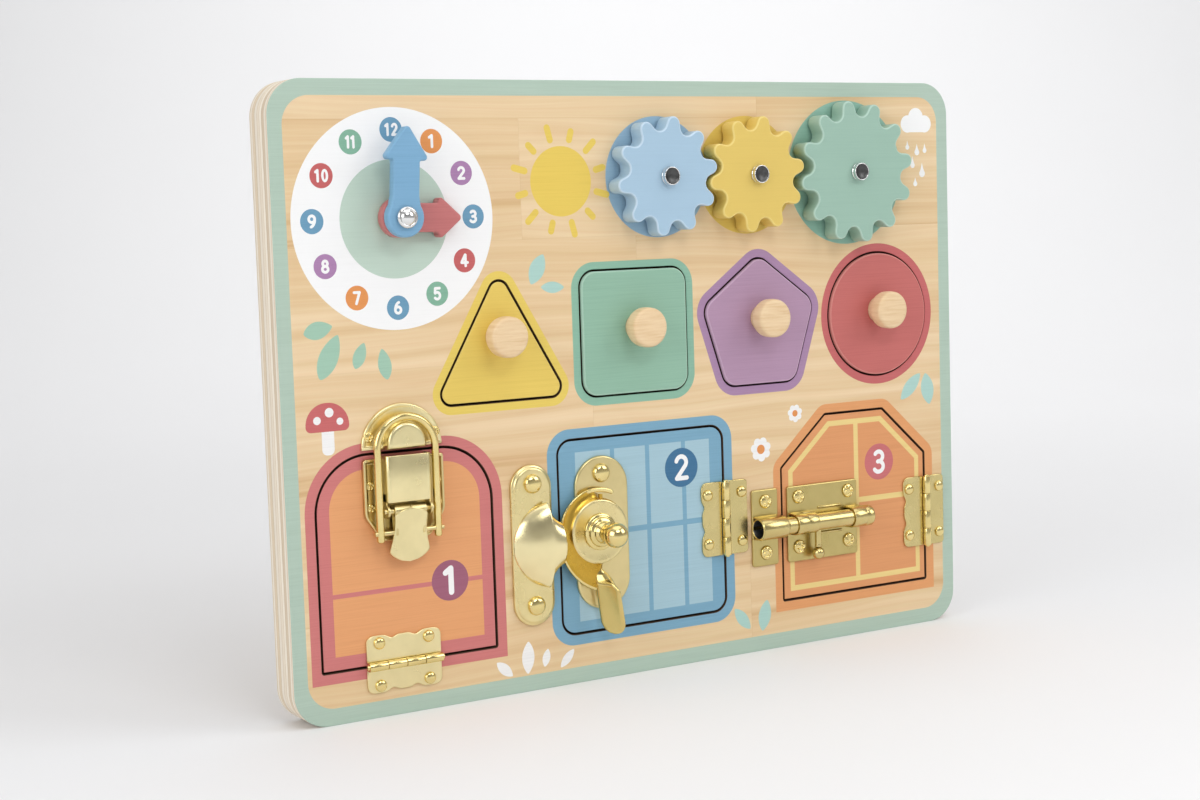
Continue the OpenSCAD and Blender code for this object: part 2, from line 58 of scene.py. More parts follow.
class Mat:
    """Small helper that builds a node material."""

    def __init__(self, name):
        self.m = bpy.data.materials.new(name)
        self.m.use_nodes = True
        self.t = self.m.node_tree
        self.b = self.t.nodes["Principled BSDF"]

    def node(self, kind, **k):
        n = self.t.nodes.new(kind)
        for key, v in k.items():
            if key.startswith("i_"):
                n.inputs[key[2:].replace("_", " ")].default_value = v
            else:
                setattr(n, key, v)
        return n

    def link(self, a, b):
        self.t.links.new(a, b)

    def coords(self, scale=(1, 1, 1), loc=(0, 0, 0), rot=(0, 0, 0)):
        tc = self.node("ShaderNodeTexCoord")
        mp = self.node("ShaderNodeMapping")
        mp.inputs["Scale"].default_value = scale
        mp.inputs["Location"].default_value = loc
        mp.inputs["Rotation"].default_value = rot
        self.link(tc.outputs["Object"], mp.inputs["Vector"])
        return mp.outputs["Vector"]

    def noise(self, vec, scale, detail=3.0, rough=0.5, dist=0.0):
        n = self.node("ShaderNodeTexNoise")
        n.inputs["Scale"].default_value = scale
        n.inputs["Detail"].default_value = detail
        n.inputs["Roughness"].default_value = rough
        n.inputs["Distortion"].default_value = dist
        self.link(vec, n.inputs["Vector"])
        return n.outputs["Fac"]

    def ramp(self, fac, stops, interp="LINEAR"):
        r = self.node("ShaderNodeValToRGB")
        r.color_ramp.interpolation = interp
        el = r.color_ramp.elements
        while len(el) < len(stops):
            el.new(0.5)
        for e, (p, c) in zip(el, stops):
            e.position = p
            e.color = c if len(c) == 4 else tuple(c) + (1,)
        self.link(fac, r.inputs["Fac"])
        return r.outputs["Color"]

    def math(self, op, a, b=None, c=None, clamp=False):
        n = self.node("ShaderNodeMath", operation=op, use_clamp=clamp)
        for i, v in enumerate((a, b, c)):
            if v is None:
                continue
            if isinstance(v, (int, float)):
                n.inputs[i].default_value = v
            else:
                self.link(v, n.inputs[i])
        return n.outputs[0]

    def mix(self, fac, a, b, blend="MIX"):
        n = self.node("ShaderNodeMix", data_type="RGBA", blend_type=blend)
        for s, v in (("Factor", fac), ("A", a), ("B", b)):
            sock = next(i for i in n.inputs if i.name == s and (i.type == "RGBA" or s == "Factor") and i.enabled)
            if isinstance(v, (int, float)):
                sock.default_value = v
            elif isinstance(v, tuple):
                sock.default_value = v
            else:
                self.link(v, sock)
        return next(o for o in n.outputs if o.type == "RGBA" and o.enabled)

    def bump(self, height, strength, distance):
        n = self.node("ShaderNodeBump")
        n.inputs["Strength"].default_value = strength
        n.inputs["Distance"].default_value = distance
        self.link(height, n.inputs["Height"])
        self.link(n.outputs["Normal"], self.b.inputs["Normal"])

    def set(self, **k):
        for key, v in k.items():
            s = self.b.inputs[key.replace("_", " ")]
            if isinstance(v, (int, float, tuple)):
                s.default_value = v
            else:
                self.link(v, s)


G = (0.5, 0.5, 0.5, 1)


def grey(v):
    return (v, v, v, 1)


def wood_face(name, tone=1.0):
    """Clear-lacquered pine panel: long horizontal grain, staves with butt joints, a few darker bands."""
    m = Mat(name)
    tc = m.node("ShaderNodeTexCoord")
    sep = m.node("ShaderNodeSeparateXYZ")
    m.link(tc.outputs["Object"], sep.inputs[0])
    x, z = sep.outputs["X"], sep.outputs["Z"]
    # staves: rows up the board, each split along its length at its own places
    row = m.math("FLOOR", m.math("DIVIDE", m.math("ADD", z, 0.011), 0.0585))
    jit = m.node("ShaderNodeTexWhiteNoise", noise_dimensions="1D")
    m.link(row, jit.inputs["W"])
    col = m.math("FLOOR", m.math("DIVIDE", m.math("ADD", m.math("ADD", x, 1.0), m.math("MULTIPLY", jit.outputs["Value"], 0.31)), 0.31))
    cell = m.math("ADD", m.math("MULTIPLY", row, 7.13), m.math("MULTIPLY", col, 3.71))
    rnd = m.node("ShaderNodeTexWhiteNoise", noise_dimensions="1D")
    m.link(cell, rnd.inputs["W"])
    # every stave takes its grain from its own part of the pattern
    off = m.math("MULTIPLY", rnd.outputs["Value"], 5.0)
    warp_v = m.node("ShaderNodeCombineXYZ")
    m.link(m.math("MULTIPLY", x, 5.0), warp_v.inputs[0])
    m.link(m.math("ADD", m.math("MULTIPLY", z, 14.0), off), warp_v.inputs[1])
    warp = m.noise(warp_v.outputs[0], 1.0, 1.5, 0.5)
    zz = m.math("ADD", z, m.math("MULTIPLY", m.math("SUBTRACT", warp, 0.5), 0.022))

    def streak(kx, kz, detail, rough):
        v = m.node("ShaderNodeCombineXYZ")
        m.link(m.math("MULTIPLY", x, kx), v.inputs[0])
        m.link(m.math("ADD", m.math("MULTIPLY", zz, kz), off), v.inputs[1])
        m.link(off, v.inputs[2])
        return m.noise(v.outputs[0], 1.0, detail, rough)

    bands = streak(1.6, 95.0, 3.0, 0.55)
    fine = streak(6.0, 520.0, 3.0, 0.6)
    fibre = streak(40.0, 1900.0, 2.0, 0.5)
    knots = streak(14.0, 60.0, 1.0, 0.5)
    light, mid, dark = lin((237, 211, 173)), lin((228, 199, 156)), lin((212, 175, 128))
    c = m.ramp(bands, [(0.30, light), (0.50, mid), (0.63, lin((222, 190, 145))), (0.70, dark), (0.78, mid)])
    c = m.mix(0.34, c, m.ramp(fine, [(0.28, grey(0.62)), (0.5, grey(0.5)), (0.72, grey(0.40))]), "OVERLAY")
    c = m.mix(0.20, c, m.ramp(fibre, [(0.35, grey(0.54)), (0.62, grey(0.44))]), "OVERLAY")
    c = m.mix(m.math("MULTIPLY", m.ramp(knots, [(0.62, grey(0)), (0.75, grey(1))]), 0.18), c, lin((214, 168, 118)))
    c = m.mix(0.22, c, m.ramp(rnd.outputs["Value"], [(0.0, grey(0.455)), (1.0, grey(0.545))]), "OVERLAY")
    # hairline joints between staves
    fz = m.math("FRACT", m.math("DIVIDE", m.math("ADD", z, 0.011), 0.0585))
    fx = m.math("FRACT", m.math("DIVIDE", m.math("ADD", m.math("ADD", x, 1.0), m.math("MULTIPLY", jit.outputs["Value"], 0.31)), 0.31))
    line = m.math("MAXIMUM", m.math("LESS_THAN", fz, 0.006), m.math("LESS_THAN", fx, 0.0012))
    c = m.mix(m.math("MULTIPLY", line, 0.14), c, lin((188, 146, 100)))
    if tone != 1.0:
        c = m.mix(1.0, c, (tone, tone, tone, 1), "MULTIPLY")
    m.set(Base_Color=c, Roughness=m.ramp(fine, [(0.2, grey(0.40)), (0.8, grey(0.52))]), Specular_IOR_Level=0.38)
    m.bump(m.mix(0.5, fine, fibre), 0.05, 0.0003)
    return m.m


def ply_side(name):
    """Sanded plywood edge: pale veneers and thin brown glue lines through the thickness, end grain in every other one."""
    m = Mat(name)
    tc = m.node("ShaderNodeTexCoord")
    sep = m.node("ShaderNodeSeparateXYZ")
    m.link(tc.outputs["Object"], sep.inputs[0])
    y = sep.outputs["Y"]
    wv = m.coords((7, 0, 7))
    wob = m.math("MULTIPLY", m.math("SUBTRACT", m.noise(wv, 1.0, 2.0), 0.5), 0.0005)
    t = m.math("DIVIDE", m.math("SUBTRACT", m.math("ADD", y, wob), FACE * MM), 0.022)
    pale, cream, tan, line = lin((243, 233, 216)), lin((236, 224, 204)), lin((226, 208, 182)), lin((201, 172, 138))
    stops, pos = [], [0.0, 0.075, 0.19, 0.305, 0.43, 0.56, 0.70, 0.83, 0.93]
    cols = [cream, pale, tan, pale, cream, pale, tan, pale, cream]
    for i, (p, cc) in enumerate(zip(pos, cols)):
        if i:
            stops += [(p - 0.012, cols[i - 1]), (p, line)]
        stops.append((p + 0.012, cc))
    # one ramp, which holds at most 32 stops
    c = m.ramp(t, stops[:28])
    sp = m.coords((420, 2600, 420))
    c = m.mix(0.40, c, m.ramp(m.noise(sp, 1.0, 2.0, 0.6), [(0.3, grey(0.56)), (0.7, grey(0.43))]), "OVERLAY")
    ln = m.coords((14, 900, 14))
    c = m.mix(0.35, c, m.ramp(m.noise(ln, 1.0, 3.0, 0.6), [(0.3, grey(0.58)), (0.72, grey(0.42))]), "OVERLAY")
    m.set(Base_Color=c, Roughness=0.62, Specular_IOR_Level=0.3)
    m.bump(m.noise(ln, 1.0, 3.0, 0.6), 0.15, 0.0004)
    return m.m


def cut_edge(name):
    """Laser-cut edge: toasted brown, darker towards the glue lines."""
    m = Mat(name)
    v = m.coords((60, 1100, 60))
    n = m.noise(v, 1.0, 3.0, 0.6)
    w = m.noise(m.coords((900, 20, 900)), 1.0, 2.0)
    c = m.ramp(n, [(0.3, lin((54, 41, 31))), (0.55, lin((80, 60, 45))), (0.75, lin((44, 34, 27)))])
    c = m.mix(0.4, c, m.ramp(w, [(0.3, grey(0.40)), (0.7, grey(0.6))]), "OVERLAY")
    m.set(Base_Color=c, Roughness=0.8, Specular_IOR_Level=0.2)
    m.bump(w, 0.25, 0.0003)
    return m.m


def paint(name, rgb, rough=0.50, grain=0.4, spec=0.35, vary=0.8, relief=0.05):
    """Matt water-based paint on wood: fine horizontal brush and grain marks show through."""
    m = Mat(name)
    base = lin(rgb)
    lo = lin(tuple(max(0, v - 7 * vary) for v in rgb))
    hi = lin(tuple(min(255, v + 5 * vary) for v in rgb))
    g = m.noise(m.coords((22, 22, 1500)), 1.0, 3.0, 0.6)
    b = m.noise(m.coords((3, 3, 130)), 1.0, 3.0, 0.5)
    f = m.noise(m.coords((2200, 2200, 2200)), 1.0, 2.0, 0.5)
    c = m.ramp(g, [(0.25, lo), (0.5, base), (0.78, hi)])
    c = m.mix(grain, c, m.ramp(b, [(0.3, grey(0.485)), (0.7, grey(0.515))]), "OVERLAY")
    c = m.mix(0.12, c, m.ramp(f, [(0.3, grey(0.46)), (0.7, grey(0.54))]), "OVERLAY")
    m.set(Base_Color=c, Roughness=m.ramp(b, [(0.2, grey(rough - 0.05)), (0.8, grey(rough + 0.06))]), Specular_IOR_Level=spec)
    m.bump(m.mix(0.5, g, f), relief, 0.00025)
    return m.m


def turned_wood(name, loc=(0, 0, 0)):
    """Pale turned beech or lotus wood: end grain on top as soft curved lines, flecks down the side."""
    m = Mat(name)
    v = m.coords((1, 1, 1), loc)
    d = m.noise(v, 90.0, 2.0, 0.5)
    tc = m.node("ShaderNodeTexCoord")
    sep = m.node("ShaderNodeSeparateXYZ")
    m.link(tc.outputs["Object"], sep.inputs[0])
    zz = m.math("ADD", m.math("MULTIPLY", sep.outputs["Z"], 1.0), m.math("MULTIPLY", m.math("SUBTRACT", d, 0.5), 0.004))
    rr = m.math("MULTIPLY", m.math("SINE", m.math("MULTIPLY", zz, 4200.0)), 0.5)
    st = m.noise(m.coords((60, 60, 900), loc), 1.0, 3.0, 0.55)
    fl = m.noise(m.coords((500, 500, 2600), loc), 1.0, 2.0, 0.5)
    c = m.ramp(st, [(0.28, lin((238, 212, 174))), (0.5, lin((232, 203, 162))), (0.72, lin((223, 190, 146)))])
    c = m.mix(0.10, c, m.ramp(m.math("ADD", rr, 0.5), [(0.1, grey(0.56)), (0.9, grey(0.44))]), "OVERLAY")
    c = m.mix(0.22, c, m.ramp(fl, [(0.35, grey(0.54)), (0.65, grey(0.44))]), "OVERLAY")
    m.set(Base_Color=c, Roughness=0.46, Specular_IOR_Level=0.4)
    m.bump(m.mix(0.5, st, fl), 0.05, 0.0003)
    return m.m


def brass(name, rgb=(226, 198, 132), rough=0.27, blast=0.10, brush=None):
    """Satin brass plate: very fine pearl texture, slightly uneven colour and polish."""
    m = Mat(name)
    big = m.noise(m.coords((1, 1, 1)), 70.0, 3.0, 0.55)
    fine = m.noise(m.coords((1, 1, 1)), 3800.0, 2.0, 0.5)
    c = m.ramp(big, [(0.3, lin(tuple(v - 9 for v in rgb))), (0.55, lin(rgb)), (0.8, lin((min(255, rgb[0] + 7), min(255, rgb[1] + 6), rgb[2] + 6)))])
    r = m.ramp(big, [(0.25, grey(rough - 0.03)), (0.75, grey(rough + 0.05))])
    m.set(Base_Color=c, Roughness=r)
    m.b.inputs["Metallic"].default_value = 1.0
    if brush:
        h = m.noise(m.coords(brush), 1.0, 3.0, 0.6)
        m.bump(h, 0.10, 0.00012)
    else:
        m.bump(fine, blast, 0.00010)
    return m.m


def chrome(name):
    m = Mat(name)
    big = m.noise(m.coords((1, 1, 1)), 160.0, 3.0, 0.55)
    c = m.ramp(big, [(0.3, grey(0.74)), (0.7, grey(0.86))])
    m.set(Base_Color=c, Roughness=m.ramp(big, [(0.3, grey(0.07)), (0.8, grey(0.16))]))
    m.b.inputs["Metallic"].default_value = 1.0
    m.bump(m.noise(m.coords((1, 1, 1)), 2600.0, 2.0), 0.04, 0.0001)
    return m.m


def steel_dull(name):
    """The flat end of a gear axle: dark, softly reflecting steel. The same dark steel lines the bore of the bolt
    keeper's tube and the hollow end of the bolt as painted shade.
    """
    m = Mat(name)
    big = m.noise(m.coords((1, 1, 1)), 420.0, 3.0, 0.55)
    c = m.ramp(big, [(0.3, grey(0.075)), (0.7, grey(0.11))])
    m.set(Base_Color=c, Roughness=m.ramp(big, [(0.3, grey(0.34)), (0.8, grey(0.46))]))
    m.b.inputs["Metallic"].default_value = 0.9
    m.bump(m.noise(m.coords((1, 1, 1)), 3600.0, 2.0), 0.12, 0.0001)
    return m.m


M = {
    "wood": wood_face("panel_pine"),
    "ply": ply_side("ply_edge"),
    "cut": cut_edge("laser_cut_edge"),
    "sage": paint("paint_sage_border", (176, 197, 182)),
    "white": paint("paint_white", (244, 244, 244), vary=0.3, grain=0.2),
    "white_leaf": paint("paint_white_leaf", (241, 240, 239), vary=1.2),
    "dial": paint("paint_dial_green", (190, 210, 196), vary=0.5),
    "n_blue": paint("paint_num_blue", (106, 154, 184)),
    "brass_r": brass("rod_brass", (214, 195, 134), rough=0.235, blast=0.04),
    "n_orange": paint("paint_num_orange", (226, 148, 84)),
    "n_purple": paint("paint_num_purple", (170, 128, 172)),
    "n_red": paint("paint_num_red", (196, 98, 98)),
    "n_green": paint("paint_num_green", (130, 178, 154)),
    "mint": paint("paint_mint", (160, 197, 176)),
    "aqua": paint("paint_aqua", (172, 208, 200)),
    "sun": paint("paint_sun", (229, 199, 92)),
    "rose": paint("paint_rose", (199, 104, 104)),
    "tri": paint("paint_yellow_piece", (228, 199, 98)),
    "tri_s": paint("paint_yellow_ground", (229, 202, 98)),
    "sq": paint("paint_sage_piece", (145, 185, 163)),
    "sq_s": paint("paint_sage_ground", (140, 184, 162)),
    "pent": paint("paint_lilac_piece", (176, 143, 170)),
    "pent_s": paint("paint_lilac_ground", (168, 134, 168)),
    "circ": paint("paint_red_piece", (195, 108, 104)),
    "circ_s": paint("paint_red_ground", (196, 104, 104)),
    "d1_frame": paint("paint_door1_frame", (205, 122, 120)),
    "d1_panel": paint("paint_door1_panel", (228, 162, 110)),
    "d1_disc": paint("paint_door1_disc", (158, 96, 118)),
    "d2": paint("paint_door2", (122, 167, 192)),
    "d2_pane": paint("paint_door2_pane", (164, 196, 209)),
    "d2_disc": paint("paint_door2_disc", (62, 112, 150)),
    "d3": paint("paint_door3", (221, 154, 103)),
    "d3_s": paint("paint_door3_ground", (224, 158, 104)),
    "d3_bar": paint("paint_door3_bars", (234, 208, 138)),
    "d3_disc": paint("paint_door3_disc", (201, 112, 114)),
    # the gear and piece rim paints are lighter copies of their paints, put on the rounded front edges as a painted
    # highlight
    "gear_b": paint("paint_gear_blue", (167, 196, 217), rough=0.42, grain=0.15, vary=0.35, relief=0.02),
    "gear_b_l": paint("paint_gear_blue_rim_painted_highlight", (192, 214, 232), rough=0.40, grain=0.15, vary=0.3, relief=0.02),
    "gear_y": paint("paint_gear_yellow", (224, 195, 104), rough=0.42, grain=0.15, vary=0.35, relief=0.02),
    "gear_y_l": paint("paint_gear_yellow_rim_painted_highlight", (234, 210, 128), rough=0.40, grain=0.15, vary=0.3, relief=0.02),
    "gear_g": paint("paint_gear_green", (155, 188, 172), rough=0.42, grain=0.15, vary=0.35, relief=0.02),
    "gear_g_l": paint("paint_gear_green_rim_painted_highlight", (176, 205, 191), rough=0.40, grain=0.15, vary=0.3, relief=0.02),
    "sq_l": paint("paint_sage_rim_painted_highlight", (166, 200, 181), vary=0.3, relief=0.02),
    "pent_l": paint("paint_lilac_rim_painted_highlight", (192, 162, 187), vary=0.3, relief=0.02),
    "circ_l": paint("paint_red_rim_painted_highlight", (207, 132, 126), vary=0.3, relief=0.02),
    "tri_l": paint("paint_yellow_rim_painted_highlight", (232, 206, 112), vary=0.3, relief=0.02),
    "gb_d": paint("paint_gear_blue_ground", (150, 182, 203)),
    "gy_d": paint("paint_gear_yellow_ground", (223, 194, 96)),
    "gg_d": paint("paint_gear_green_ground", (148, 190, 173)),
    "hand_b": paint("paint_hand_blue", (124, 170, 203), rough=0.40),
    "hand_r": paint("paint_hand_red", (193, 115, 114), rough=0.40),
    "inside": paint("paint_inside", (238, 226, 204)),
    "knob": turned_wood("turned_knob"),
    "washer": turned_wood("washer_wood", (3, 1, 2)),
    "brass": brass("satin_brass", (234, 217, 160)),
    "brass_b": brass("bright_brass", (236, 216, 150), rough=0.17, blast=0.03),
    "brass_s": brass("pearl_brass", (226, 208, 152), rough=0.30, blast=0.16),
    "brass_h": brass("brushed_brass", (216, 199, 140), rough=0.26, blast=0.06),
    # darker copy of the brass: painted shade on the barrel bolt's plates
    "brass_painted_shade": brass("plate_brass_painted_shade", (200, 182, 120), rough=0.28, blast=0.08),
    # paler copy of the pearl brass: a painted highlight on the latch, its lever and the first hinge
    "brass_l": brass("latch_brass_painted_highlight", (241, 227, 175), rough=0.29, blast=0.16),
    # paler still: a painted highlight on the outside of the keeper's nose
    "brass_nose_painted_highlight": brass("nose_brass_painted_highlight", (246, 232, 182), rough=0.23, blast=0.06),
    # dark gold: painted shade on the cam's dished wall and the clip under its hook
    "brass_dish_painted_shade": brass("deep_brass_painted_shade", (208, 168, 70), rough=0.27, blast=0.05),
    "brass_p": brass("tab_brass", (222, 200, 132), rough=0.11, blast=0.02),
    "chrome": chrome("chrome"),
    "steel_and_bore_shade": steel_dull("axle_end_and_bore_shade"),
}


# ------------------------------------------------------------------ 2-D outlines, in millimetres, anticlockwise
def arc(cx, cz, r, a0, a1, n):
    return [(cx + r * cos(math.radians(a0 + (a1 - a0) * i / n)), cz + r * sin(math.radians(a0 + (a1 - a0) * i / n))) for i in range(n + 1)]


def circle(cx, cz, r, n=72):
    return arc(cx, cz, r, 0, 360, n)[:-1]


def fillet(verts, radii, g=0.0, n=8):
    """Closed polygon grown outwards by g, with corner radii given for g = 0; the point count doesn't depend on g."""
    out, k = [], len(verts)
    for i in range(k):
        a, b, c = verts[i - 1], verts[i], verts[(i + 1) % k]
        d1 = ((b[0] - a[0]), (b[1] - a[1]))
        l1 = math.hypot(*d1)
        d1 = (d1[0] / l1, d1[1] / l1)
        d2 = ((c[0] - b[0]), (c[1] - b[1]))
        l2 = math.hypot(*d2)
        d2 = (d2[0] / l2, d2[1] / l2)
        turn = math.atan2(d1[0] * d2[1] - d1[1] * d2[0], d1[0] * d2[0] + d1[1] * d2[1])
        # corner of the offset edges: the outward normal of an edge is (dz, -dx)
        s = math.tan(turn / 2)
        q = (b[0] + g * (d1[1] + d1[0] * s), b[1] + g * (-d1[0] + d1[1] * s))
        r0 = radii[i] if isinstance(radii, (list, tuple)) else radii
        if r0 <= 0:
            out.append(q)
            continue
        r = max(0.02, r0 + g if turn > 0 else r0 - g)
        L = r * math.tan(abs(turn) / 2)
        t1 = (q[0] - d1[0] * L, q[1] - d1[1] * L)
        sg = 1 if turn > 0 else -1
        ce = (t1[0] - sg * d1[1] * r, t1[1] + sg * d1[0] * r)
        a0 = math.atan2(t1[1] - ce[1], t1[0] - ce[0])
        for j in range(n + 1):
            t = a0 + turn * j / n
            out.append((ce[0] + r * cos(t), ce[1] + r * sin(t)))
    return out


def rrect(x0, x1, z0, z1, r, g=0.0, n=10):
    return fillet([(x0, z0), (x1, z0), (x1, z1), (x0, z1)], r, g, n)


def ngon(c, n, apothem, r, g=0.0, seg=14):
    R = apothem / cos(pi / n)
    v = [(c[0] + R * cos(-pi / 2 - pi / n + 2 * pi * (i + 1) / n), c[1] + R * sin(-pi / 2 - pi / n + 2 * pi * (i + 1) / n)) for i in range(n)]
    return fillet(v, r, g, seg)


def stadium(cx, cz, hw, hh, g=0.0, n=28):
    return arc(cx, cz + hh - hw, hw + g, 0, 180, n) + arc(cx, cz - hh + hw, hw + g, 180, 360, n)


def leaf(a, b, w, fat=0.5, n=22, sharp=(1.0, 1.0)):
    """Leaf or petal from tip a to tip b, w across at its widest; fat shifts the widest place towards b."""
    dx, dz = b[0] - a[0], b[1] - a[1]
    L = math.hypot(dx, dz)
    ux, uz = dx / L, dz / L

    def half(t):
        tt = t ** (math.log(0.5) / math.log(fat))
        return 0.5 * w * sin(pi * tt) ** (0.72 if t < fat else 0.72 * sharp[1])

    left = [(t, half(t)) for t in [0.5 - 0.5 * cos(pi * i / n) for i in range(n + 1)]]
    pts = [(a[0] + ux * L * t + uz * s, a[1] + uz * L * t - ux * s) for t, s in left]
    pts += [(a[0] + ux * L * t - uz * s, a[1] + uz * L * t + ux * s) for t, s in left[-2:0:-1]]
    return pts


def capsule(a, b, w, n=7):
    t = math.degrees(math.atan2(b[1] - a[1], b[0] - a[0]))
    return arc(b[0], b[1], w / 2, t - 90, t + 90, n) + arc(a[0], a[1], w / 2, t + 90, t + 270, n)


def stroke(pts, w):
    """Outline of a smooth line with round ends."""
    k = len(pts)
    L, R = [], []
    for i, p in enumerate(pts):
        a, b = pts[max(0, i - 1)], pts[min(k - 1, i + 1)]
        d = math.hypot(b[0] - a[0], b[1] - a[1])
        nx, nz = -(b[1] - a[1]) / d, (b[0] - a[0]) / d
        L.append((p[0] + nx * w / 2, p[1] + nz * w / 2))
        R.append((p[0] - nx * w / 2, p[1] - nz * w / 2))
    t1 = math.degrees(math.atan2(R[-1][1] - pts[-1][1], R[-1][0] - pts[-1][0]))
    t0 = math.degrees(math.atan2(L[0][1] - pts[0][1], L[0][0] - pts[0][0]))
    return R + arc(pts[-1][0], pts[-1][1], w / 2, t1, t1 + 180, 6)[1:-1] + L[::-1] + arc(pts[0][0], pts[0][1], w / 2, t0, t0 + 180, 6)[1:-1]


def drop(top, bottom, w):
    cx, r = top[0], w / 2
    cz = bottom[1] + r
    return [top] + [(top[0] - r * 0.42, cz + (top[1] - cz) * 0.45)] + arc(cx, cz, r, 165, 375, 14) + [(top[0] + r * 0.42, cz + (top[1] - cz) * 0.45)]


def digit(ch, cx, cz, H, w, narrow=1.0):
    """Polygons of a plain rounded numeral: (polygon, True for ink or False for the counter cut back out of it)."""
    ink, hole = [], []

    def T(p):
        return (cx + p[0] * H * narrow, cz + p[1] * H)

    def ln(a, b):
        ink.append(capsule(T(a), T(b), w))

    def curve(c, rx, rz, a0, a1, n=14):
        ink.append(stroke([T((c[0] + rx * cos(math.radians(a0 + (a1 - a0) * i / n)), c[1] + rz * sin(math.radians(a0 + (a1 - a0) * i / n)))) for i in range(n + 1)], w))

    def ring(c, rx, rz, n=28):
        wx = w / (H * narrow) / 2
        wz = w / H / 2
        ink.append([T((c[0] + (rx + wx) * cos(2 * pi * i / n), c[1] + (rz + wz) * sin(2 * pi * i / n))) for i in range(n)])
        if rx > wx and rz > wz:
            hole.append([T((c[0] + (rx - wx) * cos(2 * pi * i / n), c[1] + (rz - wz) * sin(2 * pi * i / n))) for i in range(n)])

    if ch == "0":
        ring((0, 0), 0.22, 0.39)
    elif ch == "1":
        ln((-0.15, 0.27), (0.05, 0.40)); ln((0.05, 0.40), (0.05, -0.40))
    elif ch == "2":
        curve((0, 0.185), 0.215, 0.215, 165, -38); ln((0.17, 0.055), (-0.21, -0.39)); ln((-0.21, -0.39), (0.23, -0.39))
    elif ch == "3":
        curve((-0.01, 0.20), 0.20, 0.19, 145, -88); curve((-0.02, -0.19), 0.23, 0.205, 88, -150); ln((-0.06, 0.005), (0.0, 0.01))
    elif ch == "4":
        ln((0.06, 0.40), (-0.24, -0.14)); ln((-0.24, -0.16), (0.25, -0.16)); ln((0.08, 0.40), (0.08, -0.40))
    elif ch == "5":
        ln((0.19, 0.39), (-0.15, 0.39)); ln((-0.15, 0.39), (-0.18, 0.06)); curve((-0.015, -0.145), 0.225, 0.245, 132, -140)
    elif ch == "6":
        ring((0, -0.165), 0.22, 0.225); curve((0.20, -0.13), 0.415, 0.53, 178, 108)
    elif ch == "7":
        ln((-0.21, 0.39), (0.21, 0.39)); ln((0.21, 0.39), (-0.06, -0.40))
    elif ch == "8":
        ring((0, 0.205), 0.175, 0.185); ring((0, -0.19), 0.215, 0.205)
    elif ch == "9":
        ring((0, 0.165), 0.22, 0.225); curve((-0.20, 0.13), 0.415, 0.53, -2, -72)
    return [(p, True) for p in ink] + [(p, False) for p in hole]


# ------------------------------------------------------------------ layout, as in the CAD
CLOCK = (-139.1, 235.6)
DIAL = (-139.1, 235.05)
GEARS = [(7.65, 252.0), (62.7, 252.0), (128.1, 252.2)]
TRI, SQ, PENT, CIRC = (-85.4, 166.6), (-8.5, 174.9), (69.0, 172.9), (148.2, 175.2)
KNOBS = [(-86.6, 176.9), (-7.6, 177.1), (69.6, 177.4), (147.9, 177.6)]
HALF = 0.5          # half of the cut gap
PROUD = [0.2, 1.2, 1.2, 1.2]


def tri_o(g=0.0):
    return ngon(TRI, 3, 21.2, 5.3, g)


def sq_o(g=0.0):
    return rrect(SQ[0] - 31.5, SQ[0] + 31.5, SQ[1] - 31.5, SQ[1] + 31.5, 8.5, g, 14)


def pent_o(g=0.0):
    return ngon(PENT, 5, 30.5, 8.5, g)


def circ_o(g=0.0):
    return circle(CIRC[0], CIRC[1], 33.5 + g, 96)


def door1_o(g=0.0, d=(-185.25, -93.5, 25.3, 125.8), r=27.0):
    return fillet([(d[0], d[2]), (d[1], d[2]), (d[1], d[3]), (d[0], d[3])], [0.7, 0.7, r, r], g, 20)


def door2_o(g=0.0):
    return rrect(-55.7, 43.3, 25.2, 122.8, 7.5, g, 12)


def door3_o(g=0.0):
    return fillet([(81.1, 25.2), (179.4, 25.2), (179.4, 96.4), (150.3, 122.9), (110.9, 122.9), (81.1, 96.4)], [0.7, 0.7, 1.6, 1.6, 1.6, 1.6], g, 6)


def board_o(g=0.0):
    return rrect(-200, 200, 0, 300, 17, g, 18)


# ------------------------------------------------------------------ mesh building
def inside(px, pz, poly):
    """Even-odd test of many points against one polygon, with numpy."""
    q = np.asarray(poly)
    x1, z1 = q[:, 0], q[:, 1]
    x2, z2 = np.roll(x1, -1), np.roll(z1, -1)
    res = np.zeros(len(px), bool)
    for a, b, c, d in zip(x1, z1, x2, z2):
        m = (b > pz) != (d > pz)
        if m.any():
            xi = (c - a) * (pz - b) / ((d - b) if d != b else 1e-12) + a
            res ^= m & (px < xi)
    return res


